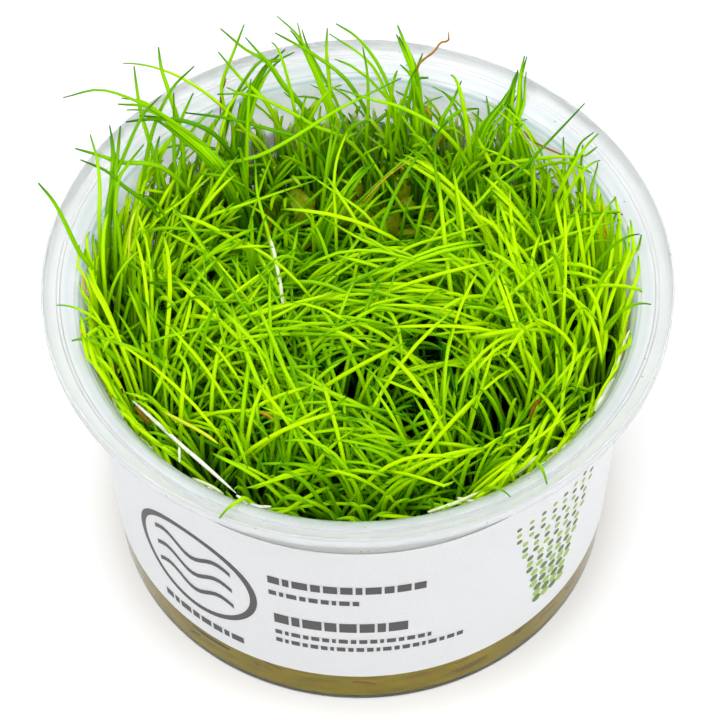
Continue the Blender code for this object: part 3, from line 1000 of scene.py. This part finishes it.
# %% The blades that stand clear
CLEAR_BLADES = (
    (1, (-20.8, 24, 54.3), (-26.4, 24.3, 61.2), (-30.4, 24.5, 64.9), (-36.3, 24.8, 67.8), (-41.9, 25, 66)),
    (5, (-20, 23, 52.7), (-24.8, 24.6, 58.4), (-29.4, 25.9, 62.4), (-34.2, 27, 62.1)),
    (3, (-21, 24, 51.1), (-26.1, 26.3, 57.4), (-30.2, 27.9, 61.2), (-34, 29, 61.1)),
    (1, (-20.4, 27, 54.7), (-24.8, 25.9, 59.4), (-29.4, 24.8, 61.2), (-33.1, 24, 61.6)),
    (1, (-28.4, 22, 49.4), (-29.9, 24.5, 54), (-31.3, 27.3, 59), (-31.8, 29.1, 62.4), (-32.1, 31, 65.8)),
    (1, (-25.4, 25, 48.6), (-25.7, 27.9, 54.5), (-27, 30.5, 59.8), (-28.1, 32.5, 63.4), (-28.4, 34, 66.5)),
    (1, (-31.2, 21, 50.7), (-30.5, 23.2, 54.7), (-29, 25.8, 59.3), (-26.4, 28.6, 63.5), (-23.1, 31, 65.6)),
    (1, (-36.1, 8, 52.3), (-35.3, 13.9, 57.5), (-32.8, 18.9, 61.2), (-30.4, 23, 64), (-27.7, 26, 65)),
    (1, (-34.9, 10, 53), (-34.4, 15, 58.1), (-32.9, 17.3, 59.8), (-30.5, 20, 61.2)),
    (2, (-35.9, 13, 54.1), (-35.3, 15.2, 57), (-34.9, 18.4, 61.4), (-35.3, 21, 65)),
    (1, (-34.7, 15, 58.1), (-34.3, 18.3, 60.5), (-33.8, 22, 63.1)),
    (1, (-36.8, 10, 56.9), (-36.6, 12.7, 60), (-36.8, 15.4, 63.2), (-37.7, 18, 66)),
    (1, (-28.4, 20, 56.1), (-34.1, 18.6, 59), (-36.6, 17.9, 61.3), (-40.1, 17, 64.1)),
    (1, (-29.1, 15, 52.3), (-33.2, 15.4, 57.5), (-35.4, 15.7, 60.5), (-39, 16, 62.8)),
    (1, (-38.6, 5, 52.4), (-39.9, 5.2, 55.7), (-42.2, 5.7, 65.1), (-44.3, 6, 69.8)),
    (1, (-26, 23, 44.8), (-26.6, 25, 50.5), (-26.4, 27.2, 57.1), (-26.2, 29, 62.1)),
    (1, (-28.8, 25, 52.4), (-26.4, 27, 55.5), (-25.1, 28.4, 58), (-23.6, 30, 60.7)),
    (1, (-29, 22, 52.3), (-29.1, 23.7, 55), (-28.5, 25, 57.1)),
    (1, (-7.4, 27, 52.8), (-13.3, 27.3, 55.8), (-19.2, 27.7, 57.8), (-25.1, 28, 58.8)),
    (1, (-0.8, 29, 50.5), (-5.8, 29.8, 53.2), (-10.6, 30.6, 56.5), (-15.3, 31.3, 58.8), (-20.2, 32, 58.2)),
    (1, (-7.7, 34, 52.5), (-10.6, 35.3, 56), (-12.9, 36.5, 60), (-16.2, 37.7, 61.8), (-19.6, 39, 64.8)),
    (1, (-20.5, 33, 44.1), (-20.5, 35.3, 51.3), (-19.6, 36.9, 56), (-17.7, 38.6, 60.8), (-16.2, 40, 64.5)),
    (1, (-8.8, 34, 54.4), (-10.6, 34.9, 56.6), (-12.6, 36.2, 59.8), (-14.4, 37, 61.8), (-16.2, 38, 63.9)),
    (1, (-12.5, 34, 53.1), (-14.3, 34.8, 55.5), (-16.6, 35.7, 57.7), (-19.6, 37, 61.9)),
    (4, (-17, 33, 48.3), (-15.5, 34.9, 54.4), (-13.3, 36.6, 58.9), (-10.3, 38, 61.7)),
    (1, (-14.1, 36, 60.1), (-11.4, 36.9, 59.8), (-8.5, 38, 60.5)),
    (2, (-2.9, 34, 46.8), (-4.6, 36.2, 53.6), (-6.6, 38.1, 59.2), (-8.6, 39.6, 63), (-11.4, 41, 65.7)),
    (3, (-2.3, 34, 47.2), (-3.4, 35.5, 52), (-5.7, 37.4, 57.3), (-7.4, 38.9, 61.5), (-8.1, 40, 64.7)),
    (1, (-0.9, 36, 56), (-5.7, 37.4, 60.4), (-8.3, 38.2, 61.9), (-11.5, 39, 63.7)),
    (1, (-3.6, 35, 49.4), (-3.8, 36.6, 55.5), (-4.1, 38, 60.7), (-3.9, 39, 64.5)),
    (1, (-18.8, 33, 45.5), (-18, 34, 49.1), (-17.2, 35, 53)),
    (1, (-18.3, 32, 44.8), (-18.4, 33.3, 49.9), (-19.3, 34, 52.5)),
    (1, (7, 33, 47.9), (4.7, 35.7, 55.8), (2.5, 37.4, 60.2), (0, 38.8, 63), (-2.8, 40, 64.4)),
    (1, (6, 34, 49.8), (3.8, 36.4, 56.4), (1.3, 37.9, 59.6), (-3.5, 40, 62.2)),
    (1, (1.7, 33, 48.1), (2, 34.3, 53), (1.9, 35.8, 58.2), (1.3, 37, 62.5)),
    (3, (9.2, 32, 45), (9.3, 35, 52.5), (8.8, 37.1, 57.5), (7.5, 38.8, 61.3), (6.5, 40, 63.8)),
    (1, (9.1, 35, 52.5), (8.5, 36.6, 57), (7.4, 37.8, 60), (6.2, 39, 62.9)),
    (1, (8.6, 36, 55.3), (9.3, 37.1, 57.7), (10.1, 38, 59.8)),
    (1, (9.2, 35, 54.5), (9.1, 35.5, 56.8), (10.9, 36, 56.6)),
    (1, (9.2, 35, 55.4), (8.3, 36, 57.3), (6.8, 37, 58.5)),
    (1, (11.8, 31, 46.2), (13.1, 32.3, 51.6), (14.4, 33, 54.2), (15.8, 34, 58)),
    (1, (13.1, 31, 50.1), (14.3, 31.7, 52.3), (16.3, 32.3, 53.4), (18.6, 33, 52.9)),
    (1, (20, 31, 50), (19.7, 32.5, 52.2), (19.3, 34, 54.5)),
    (8, (15.6, 27, 44.8), (17.6, 28.9, 48.5), (19.5, 31, 52.5), (22.1, 32.9, 55.6), (24, 35, 59.5)),
    (6, (23.8, 28, 45.4), (23.7, 30.4, 50.5), (24.1, 32.6, 54.9), (24.4, 34.4, 58.6), (25.1, 36, 61.7)),
    (4, (26.5, 28, 45.3), (26.2, 29.4, 48.7), (24.6, 31.3, 53), (22.1, 33, 55.7)),
    (1, (12.6, 14, 44.5), (18.4, 17.5, 50.2), (23.2, 20, 53), (27.9, 22.8, 57), (33.2, 26, 61.8)),
    (1, (31.2, 22, 51.4), (31.9, 22.6, 53.7), (32.8, 23.3, 56.2), (34.6, 24, 57.6)),
    (1, (18.4, 25, 48.6), (23.7, 24.1, 51.1), (29.1, 23.1, 53.3), (33.1, 22.4, 54.1), (35.1, 22, 56.7)),
    (2, (30.3, 12, 47.6), (33.9, 16.3, 50.3), (35.1, 18.6, 52.5), (35.5, 21, 55)),
    (1, (33.2, 20, 50.8), (33.2, 21.7, 53.7), (33.4, 23, 56)),
    (1, (31.6, 21, 46.6), (30.7, 23.3, 51.8), (30.5, 25, 55.5)),
    (1, (36.2, 8, 45.4), (37.1, 10.5, 49.8), (38, 13, 54.2)),
    (1, (18.4, 14, 45.4), (29.3, 12.9, 51.5), (34.8, 12.4, 53.3), (38.9, 12, 53.4)),
    (1, (39.7, 3, 46.6), (39.9, 4.7, 52), (40.4, 6, 56.1)),
    (1, (39.2, 3, 47.6), (38.9, 5.2, 51.4), (38.4, 7, 54.4)),
    (1, (2.8, 10, 45.2), (3.2, 12.2, 48.5), (5.3, 15.8, 53.1), (8.6, 19.6, 57.3), (13.5, 24, 60.8)),
    (1, (14.4, 10, 47), (13.2, 13.9, 51.3), (11.8, 17.2, 54.8), (11.5, 22, 60.3)),
    (1, (16.1, 26, 49.5), (12.2, 27.1, 55.3), (6.5, 28.3, 58.9), (2.1, 29.1, 59.9), (-2.4, 30, 61.2)),
)

# %% The long culms that cross the hollow
LONG_CULMS = (
    (1, (-23.4, 15.1, 49), (-15.1, 17.5, 51), (-5.9, 19.7, 53)),
    (
        1, (-22.7, 24.3, 50), (-15.1, 25, 52), (-9.7, 26.3, 54.5),
        (-3.1, 29.4, 57), (1.1, 31.3, 58), (6.6, 33.4, 59.5),
    ),
    (1, (2.1, 14.6, 49.5), (-3.2, 18.5, 51.5), (-8.6, 21.8, 53.5)),
    (1, (-3.9, 8.1, 49), (-6.1, 13.4, 51), (-10.1, 17.8, 53)),
    (1, (-12.5, 8.5, 50), (-13.2, 12, 51.2), (-14.6, 17.7, 52.5), (-14.9, 23, 54)),
    (1, (-3.2, 14.5, 49), (-3.3, 21.7, 51.5), (-2.1, 26.1, 53.5), (0.1, 30, 55)),
    (1, (-30, 13.7, 50), (-25.3, 18, 51), (-18.4, 23.8, 53)),
    (1, (-30, 13.1, 50), (-22.2, 12.1, 51), (-14.4, 11.6, 51.5)),
    (1, (26.8, 21.1, 50), (21.4, 24.2, 52.5), (17.1, 25.5, 53.5)),
    (1, (8.4, 7.2, 49.5), (0.8, 9.7, 51), (-6.4, 14.4, 52)),
    (1, (11.7, 11.9, 50), (17.1, 15.7, 51), (21.4, 20.4, 52), (26.6, 23.4, 53)),
    (1, (6.3, 8.2, 50), (15.3, 11.1, 51), (26.8, 14.4, 52)),
)

# %% The lines of the blades
BLADE_SHARES = np.linspace(0.0, 1.0, 22) ** 0.8
BLADE_TAPER = np.interp(BLADE_SHARES, (0.0, 0.2, 0.5, 0.75, 0.92, 1.0), (0.9, 1.0, 1.0, 0.86, 0.58, 0.3))
BUNDLE_STEP = 0.6 * MM
CLEAR_REACH = 4.0 * MM
STANDING_TIP = 56.0 * MM
LOCK_SPREAD = 2.2
STEM_BACK = np.array(((9.0,), (8.0,), (5.0,)))
STEM_DROPS = (22.0 * MM, 9.0 * MM)


def lock_paths(foot, tips):
    """Paths of the culms that end where a solid's locks end, apart from the clear blades' tips."""
    corners = []
    ends = np.array([row[-1] for row in CLEAR_BLADES]) * MM
    for tip in tips:
        if np.linalg.norm(ends - tip, axis=1).min() < CLEAR_REACH:
            continue
        for i in range(1 if tip[2] > STANDING_TIP else 3):
            spread = random.normal(0.0, 1.0, 3) * MM * (0.0 if i == 0 else LOCK_SPREAD)
            spread[2] = -abs(spread[2]) * LOCK_SPREAD
            end = tip + spread
            root = foot + np.array((*random.normal(0.0, 2.0, 2), 0.0)) * MM
            root[2] = ROOT_LEVEL
            aim = end - root
            rise = root + np.array((aim[0] * 0.12, aim[1] * 0.12, aim[2] * 0.62))
            bend = root + np.array((aim[0] * 0.55, aim[1] * 0.55, aim[2] * random.uniform(0.92, 1.06)))
            corners.append((root, rise, bend, end))
    return curve_points(np.array(corners).reshape(-1, 4, 3), BLADE_SHARES)


def clear_paths(rows):
    """Paths of the clear blades, from the gel up; below the mat they curve on against their lean."""
    paths = []
    for number, *points in rows:
        points = np.array(points) * MM
        lean = points[1] - points[0]
        lean = lean[:2] / np.linalg.norm(lean)
        stem = np.zeros((3, 3))
        stem[:, :2] = points[0, :2] - lean * STEM_BACK * MM
        stem[:, 2] = ROOT_LEVEL, points[0, 2] - STEM_DROPS[0], points[0, 2] - STEM_DROPS[1]
        for i in range(number):
            step = (i - (number - 1) / 2) * BUNDLE_STEP
            length = 1.0 if i == number // 2 else random.uniform(0.88, 1.0)
            beside = smooth_path(np.concatenate((stem, points)), BLADE_SHARES * length)
            beside[:, 0] += step * (1.0 - BLADE_SHARES**3 * 0.7) + random.normal(0.0, 0.2) * MM
            beside[:, 2] -= abs(step) * 2.0 * BLADE_SHARES**2
            paths.append(beside)
    return np.array(paths)


print("clear blades", sum(row[0] for row in CLEAR_BLADES))

# %% [markdown]
# A fresh culm is a soft green tube, yellow-green where it is young. Its colour also holds painted light
# and shade: lighter where it stands high in the mat or out at its sides, darker at its foot and darker
# green at its tip, and dark where it stands low in the cup, deep in the mat. It has a thin wax layer, so
# its gloss is low, and its highlights are soft.

# %% The culms' material
HEIGHT_SPAN = 60.0 * MM
# Colours by tone: freshness, and in the mat painted light.
FRESH_AND_LIT = ((0.0, "#3E8800"), (0.45, "#98D600"), (1.0, "#C8F400"))
# Painted shade: darker at a culm's foot, deep in the mat, and darker green at its tip.
PAINTED_SHADE_ALONG = ((0.0, "#A8B090"), (0.5, "#FFFFFF"), (0.8, "#F0F6E8"), (1.0, "#5C9C54"))
# Painted shade: the lower a point stands in the cup, the darker it is, as deep in the mat.
PAINTED_DEPTH_SHADE = ((0.3, "#1A2C0A"), (0.54, "#668E52"), (0.69, "#BCE0AE"), (0.82, "#FFFFFF"))


def attribute(tree, name):
    """A value that the mesh carries at its points."""
    return add_node(tree, "ShaderNodeAttribute", {"attribute_name": name}).outputs["Fac"]


def fresh_culm():
    """Living grass stem: green by its tone, with painted shade along the stem and low in the cup."""
    material = new_finish("fresh_culm", {"Roughness": 0.5, "IOR": 1.42, "Specular IOR Level": 0.08})
    tree = material.node_tree
    axes = add_node(tree, "ShaderNodeSeparateXYZ", links={"Vector": object_place(tree)})
    level = mapped(tree, axes.outputs["Z"], {"From Max": HEIGHT_SPAN})
    # The tone carries freshness, and in the mat painted light.
    green = ramp(tree, attribute(tree, "tone"), *FRESH_AND_LIT)
    # Painted shade at the foot and the tip.
    green = product(tree, green, ramp(tree, attribute(tree, "along"), *PAINTED_SHADE_ALONG))
    # Painted shade, darker low in the cup.
    green = product(tree, green, ramp(tree, level, *PAINTED_DEPTH_SHADE))
    return feed(material, {"Base Color": green})


culm_finish = fresh_culm()
print("finish", culm_finish.name)

# %% [markdown]
# Each culm belongs to the tuft whose foot is nearest to its root, and a tuft's culms stand in the place
# of its solid. The blades that reach up and over the rim are pieces of their own, with finer tubes.

# %% The mat and its blades
BLADE_RADIUS = (0.27 * MM, 0.38 * MM)
BLADE_SIDES = 6
EDGE = 0.3 * MM


def grass_piece(name, paths, thickness, taper, tones, ring, sides, *nodes):
    """A piece of culms or blades, held within the cup and the box of the whole."""
    radii = random.uniform(*thickness, len(paths))[:, None] * taper
    held = held_in(paths, radii, ring)
    held[..., :2] = np.clip(held[..., :2], -RIM_RADIUS + EDGE, RIM_RADIUS - EDGE)
    tube_piece(name, held, radii, tones, culm_finish, *nodes, sides=sides)


feet = np.array([tufts[node][0] for node in TUFT_NODES])
mat, mat_tones_and_light = mat_paths()
owner = np.linalg.norm(mat[:, None, 0, :2] - feet[None, :, :2], axis=2).argmin(axis=1)
mat_edge = MAT_RING + SIDE_ROOM
for number, node in enumerate(TUFT_NODES):
    own = owner == number
    name = node.replace("tuft", "culms")
    grass_piece(name, mat[own], CULM_RADIUS, CULM_TAPER, mat_tones_and_light[own], mat_edge, CULM_SIDES, node)
locks = np.concatenate([lock_paths(*tufts[node]) for node in TUFT_NODES])
clear = clear_paths(CLEAR_BLADES)
lock_tones = random.uniform(0.2, 0.9, len(locks))
clear_tones = random.uniform(0.1, 0.65, len(clear))
grass_piece("lock_blades", locks, BLADE_RADIUS, BLADE_TAPER, lock_tones, BEYOND, BLADE_SIDES)
grass_piece("clear_blades", clear, BLADE_RADIUS, BLADE_TAPER, clear_tones, BEYOND, BLADE_SIDES)
print("culms", len(mat), "and blades", len(locks) + len(clear))

# %% [markdown]
# Not everything in the mat is fresh. A cream-white runner lies along the front of the wall, short pale
# sheaths lean on the wall, and young shoots stand against its back. A few dead blades, brown, orange or
# straw, lie on the wall and on the rolled edge. They are tubes as well, and the colour of each follows
# its tone.

# %% Pale runners and dead blades
PALE_PIECES = (
    (0.33, 1.0, (-31.9, -16.4, 48.5), (-25.2, -23.8, 48.5), (-22.4, -26.7, 48.5), (-17.2, -32.3, 48.5)),
    (0.32, 1.0, (-17.1, -33.2, 49.3), (-14.6, -35.1, 49.3), (-12.3, -35.1, 49.3)),
    (0.33, 0.9, (-37, -12.7, 48), (-35.4, -15.6, 48), (-32.9, -20.1, 48)),
    (0.3, 0.8, (-36.1, -15.4, 49), (-34.2, -16, 49)),
    (0.26, 0.6, (-23.3, -30.1, 49), (-20.7, -31.4, 49), (-18.9, -32.8, 49)),
    (0.2, 1.0, (-25.2, -24.8, 49), (-25.1, -27.3, 49)),
    (0.2, 0.15, (-31.5, 14, 55), (-32.5, 10.3, 55), (-33.0, 6.0, 52)),
    (0.28, 0.1, (-27.6, -19.3, 50), (-22.3, -22.8, 50), (-19.7, -25, 50)),
    (0.3, 0.75, (-12.5, 9.5, 52), (-11.8, 5.5, 52.5), (-11.0, 0.5, 52), (-10.6, -3.5, 50)),
    (0.3, 0.6, (9.1, -36.6, 49.5), (12.8, -35.2, 49.5), (16.5, -33.3, 49.5)),
    (0.26, 0.8, (13.2, -34, 49), (16.1, -34.8, 49)),
    (0.42, 0.55, (21.1, -30.6, 49.5), (23.1, -29, 49.5), (25, -27.3, 49.5)),
    (0.32, 0.8, (25.9, -26.8, 49), (28.7, -25.5, 49)),
    (0.26, 1.0, (29.8, -24.8, 49), (30.9, -22.7, 49)),
    (0.34, 0.9, (33.5, -20.5, 49.5), (35.4, -17.4, 49.5), (37.5, -15, 49.5)),
    (0.24, 0.6, (37.1, -13.6, 50), (38.1, -10.7, 51), (39.1, -8.1, 52)),
    (0.3, 0.9, (36.6, -11.4, 49), (35.5, -14.9, 49), (34.2, -18.1, 49)),
    (0.26, 0.7, (31.9, -21.5, 48.5), (30.2, -23.6, 48.5)),
    (0.24, 0.9, (22.6, -27.6, 48), (22, -30.3, 48)),
)
DEAD_PIECES = (
    (
        0.17, 0.4, (9, 34, 60), (9.8, 34.8, 61.5), (11.8, 35.5, 63),
        (12.7, 36.7, 63.5), (13.9, 36.7, 64), (13.8, 36.8, 66),
    ),
    (0.18, 0.4, (25.2, 29.8, 51.6), (27, 27.9, 51.1), (32, 23.4, 52.6)),
    (0.16, 0.9, (9.8, 36.7, 50), (11.5, 34.3, 50)),
    (0.2, 0.1, (-30.7, 25.4, 52.9), (-31.3, 22.7, 50.2), (-31.5, 18.2, 50)),
    (0.16, 0.3, (-19.3, 38.4, 54.7), (-20.1, 35.8, 53.7), (-20.3, 33.5, 51.9)),
    (0.12, 0.8, (-39.8, 3.0, 52.8), (-39.5, 1.2, 52.4), (-38.9, 0.2, 51.1)),
    (0.12, 0.9, (-39.6, -6.4, 53.2), (-39.2, -9.0, 53.2), (-38.6, -11.3, 53)),
    (0.16, 0.2, (-38.7, -0.8, 50), (-38.2, -2.3, 50), (-37.6, -3.7, 50)),
    (0.2, 0.7, (36.1, 17.7, 52), (36.3, 14.0, 51.3), (36, 10.0, 50)),
    (0.22, 0.0, (-34.6, -10.8, 50), (-34.0, -13.5, 50), (-33.2, -15.9, 49.5)),
    (0.3, 0.3, (-31.6, -17.4, 48.5), (-30.5, -19.0, 48.5), (-29.3, -20.2, 48)),
    (0.3, 0.2, (25.5, -17.5, 49), (24.5, -18.7, 49), (23.8, -20.5, 48.5)),
    (0.2, 0.8, (-15.0, -19.5, 50), (-12.8, -20.3, 50), (-10.9, -22.0, 49)),
    (0.14, 0.9, (0.9, 20.3, 47), (4.8, 24.5, 47.8), (8.8, 28.7, 47)),
    (0.14, 0.3, (13.6, 31.4, 50), (12.6, 29.4, 50), (11.3, 27.0, 50)),
)
PIECE_SHARES = np.linspace(0.0, 1.0, 12)
PIECE_TAPER = np.array((0.5, 0.85, 1.0, 1.0, 1.0, 1.0, 1.0, 1.0, 0.95, 0.85, 0.6, 0.25))
BLOTCH = 1.0 * MM


def placed_tubes(name, rows, finish):
    """Tubes through given points: radius, tone and then the points of each."""
    paths = np.array([smooth_path(np.array(points) * MM, PIECE_SHARES) for radius, tone, *points in rows])
    radii = np.array([row[0] for row in rows])[:, None] * PIECE_TAPER * MM
    tube_piece(name, held_in(paths, radii), radii, np.array([row[1] for row in rows]), finish)


def toned_finish(name, roughness, *codes):
    """A plant finish whose colour follows the tone of a piece, a little uneven along it."""
    material = new_finish(name, {"Roughness": roughness, "Specular IOR Level": 0.2})
    tree = material.node_tree
    stops = [(i / (len(codes) - 1), code) for i, code in enumerate(codes)]
    shade = ramp(tree, attribute(tree, "tone"), *stops)
    blotch = noise(tree, object_place(tree), BLOTCH, 2.0)
    uneven = ramp(tree, blotch, (0.35, "#E6E8D8"), (0.6, "#FFFFFF"))
    return feed(material, {"Base Color": product(tree, shade, uneven)})


pale_finish = toned_finish("pale_stem", 0.4, "#D6D800", "#D8EC50", "#F0F8C8", "#FFFFF6")
dead_finish = toned_finish("dead_blade", 0.6, "#4A2C04", "#9A6400", "#D69400", "#F4BC40")
placed_tubes("pale_runners", PALE_PIECES, pale_finish)
placed_tubes("dead_blades", DEAD_PIECES, dead_finish)

# %% Sheaths and shoots that lean on the wall
LEAN_TOP = 49.8 * MM
# Each kind: number, angle, turn, foot height in mm, rise in mm and radius in mm.
WALL_SHEATHS = (190, (-70.0, 48.0), 0.12, (44.0, 49.2), (1.5, 2.0), (0.18, 0.36))
YOUNG_SHOOTS = (200, (90.0, 32.0), 0.03, (28.0, 40.0), (8.0, 2.5), (0.35, 0.6))


def leaning_tubes(name, kind, finish):
    """Short pieces that stand against the wall."""
    count, angles, turns, feet_at, rises, thickness = kind
    angle = np.radians(random.normal(*angles, count))
    turn_by = random.normal(0.0, turns, count)
    height = random.uniform(*feet_at, count) * MM
    rise = random.normal(*rises, count) * MM
    paths = np.zeros((count, len(PIECE_SHARES), 3))
    for i, share in enumerate(PIECE_SHARES):
        level = np.minimum(height + rise * share, LEAN_TOP)
        reach = room_radius(level) - thickness[1] * MM - random.uniform(0.05, 0.2) * MM
        paths[:, i, :2] = round_axis(reach, angle + turn_by * share)
        paths[:, i, 2] = level
    radii = random.uniform(*thickness, count)[:, None] * PIECE_TAPER * MM
    tube_piece(name, paths, radii, random.uniform(0.1, 0.95, count), finish)


shoot_finish = toned_finish("young_shoot", 0.3, "#B0E41C", "#D0F450", "#F8FFD4")
leaning_tubes("wall_sheaths", WALL_SHEATHS, pale_finish)
leaning_tubes("young_shoots", YOUNG_SHOOTS, shoot_finish)

# %% [markdown]
# The bottom of the hollow isn't empty. Lumps of gel still cling to the old lower stems at the back, wet
# and olive, with air bubbles in them, and brown root ends show through the wall in the gel below. Thin
# culms lean along the back of the wall and cross before it, and the long ones cross the hollow.

# %% Gel lumps and bubbles
# Each kind: number, angles, reaches in mm, heights in mm and radii in mm.
LUMPS = (150, (62.0, 134.0), (27.0, 34.5), (14.0, 36.0), (1.3, 2.8))
BUBBLES = (110, (62.0, 134.0), (25.0, 32.0), (14.0, 34.0), (0.5, 1.2))


def at_back(count, angles, reaches, heights):
    """Places along the back wall, within degrees round the axis and millimetres out and up."""
    angle = np.radians(random.uniform(*angles, count))
    reach = random.uniform(*reaches, count) * MM
    height = random.uniform(*heights, count) * MM
    return np.column_stack((round_axis(reach, angle), height))


def round_pieces(name, kind, squash, finish):
    """Small squashed spheres joined to one piece."""
    *place_ranges, sizes = kind
    places = at_back(*place_ranges)
    radii = random.uniform(*sizes, len(places)) * MM
    balls = []
    for place, radius in zip(places, radii):
        bpy.ops.mesh.primitive_ico_sphere_add(subdivisions=2, radius=radius, location=place)
        ball = bpy.context.active_object
        ball.scale = (1.0, 1.0, squash)
        ball.rotation_euler = (0.0, 0.0, random.uniform(0.0, math.pi))
        balls.append(ball)
    piece = joined(balls)
    piece.name = name
    piece.data.materials.append(finish)
    bpy.ops.object.shade_smooth()
    finish_piece(piece, "gel")


lump_gel = toned_finish("lump_gel", 0.18, "#C4D41C", "#E0F04C")
bubble_skin = new_finish("bubble_skin", {"Base Color": colour("#B4B83A"), "Roughness": 0.1})
round_pieces("gel_lumps", LUMPS, 1.1, lump_gel)
round_pieces("gel_bubbles", BUBBLES, 1.0, bubble_skin)

# %% Old stems, roots and crossing culms
# The groups are written as those of the mat are.
OLD_STEMS = (100, (1, 1), (0.0, 0.7), (1.0, 8.0), 1.5, None)
CROSSING = (90, (1, 1), (0.45, 1.0), (14.0, 34.0), 3.0, (0.0, 0.6))
OLD_RADIUS = (0.26, 0.42)
CROSSING_RADIUS = (0.16, 0.27)
LONG_RADIUS = (0.24 * MM, 0.32 * MM)
CROSSING_LEFT_OVER = 0.2
ACROSS_SHARE = 0.8
ROOTS = 22
ROOT_ANGLES = (-155.0, -25.0)
ROOT_HEIGHTS = (2.5, 7.0)
ROOT_LIMITS = (2.0 * MM, 7.5 * MM)


def thin_culms(group, roots, aims, thickness):
    """Paths and radii of single culms inside the mat's ring."""
    corners, heights = grown(group, roots, aims)
    radii = random.uniform(*thickness, len(roots))[:, None] * MM * CULM_TAPER
    return held_in(curve_points(corners, CULM_SHARES), radii, MAT_RING), radii


def hollow_stems():
    """Old lower stems that stand behind the hollow, before the wall."""
    roots = at_back(OLD_STEMS[0], (55.0, 136.0), (33.0, 36.5), (0.0, 0.0))[:, :2]
    aims = random.normal(0.0, 1.0, roots.shape)
    paths, radii = thin_culms(OLD_STEMS, roots, aims, OLD_RADIUS)
    finish = toned_finish("lower_stem", 0.4, "#5CA400", "#98D400", "#D4F430")
    tube_piece("hollow_stems", paths, radii, random.uniform(0, 1, len(paths)), finish)


def crossing_culms():
    """Thin culms that lean along the back of the wall and cross before it."""
    roots = at_back(CROSSING[0], (15.0, 165.0), (24.0, 36.5), (0.0, 0.0))[:, :2]
    across = np.sign(roots[:, :1]) * np.where(chance(ACROSS_SHARE, (len(roots), 1)), 1, -1)
    aims = unit(quarter_turned(roots)) * across + random.normal(0.0, 0.35, roots.shape)
    paths, radii = thin_culms(CROSSING, roots, aims, CROSSING_RADIUS)
    keep = ~crosses_hollow(paths) | chance(CROSSING_LEFT_OVER, len(paths))
    tones = random.uniform(0.15, 0.8, len(paths))
    tube_piece("crossing_culms", paths[keep], radii[keep], tones[keep], culm_finish)


def gel_roots():
    """Brown root ends between the gel and the wall."""
    paths = np.zeros((ROOTS, len(PIECE_SHARES), 3))
    for path in paths:
        angle = math.radians(random.uniform(*ROOT_ANGLES))
        height = random.uniform(*ROOT_HEIGHTS) * MM
        drop = random.normal(0.0, 1.0) * MM
        turn_by = random.normal(0.0, 0.09)
        path[:, 2] = np.clip(height + drop * PIECE_SHARES**2, *ROOT_LIMITS)
        inner = room_radius(np.maximum(path[:, 2], FLOOR + BASE_CORNER)) + SUNK
        path[:, :2] = round_axis(inner, angle + turn_by * PIECE_SHARES)
    radii = random.uniform(0.1, 0.28, ROOTS)[:, None] * PIECE_TAPER * MM
    tube_piece("gel_roots", paths, radii, random.uniform(0.0, 0.4, ROOTS), dead_finish, slot="gel")


hollow_stems()
gel_roots()
crossing_culms()
long_paths = clear_paths(LONG_CULMS)
long_tones = random.uniform(0.4, 0.9, len(long_paths))
grass_piece("long_culms", long_paths, LONG_RADIUS, BLADE_TAPER, long_tones, BEYOND, BLADE_SIDES)
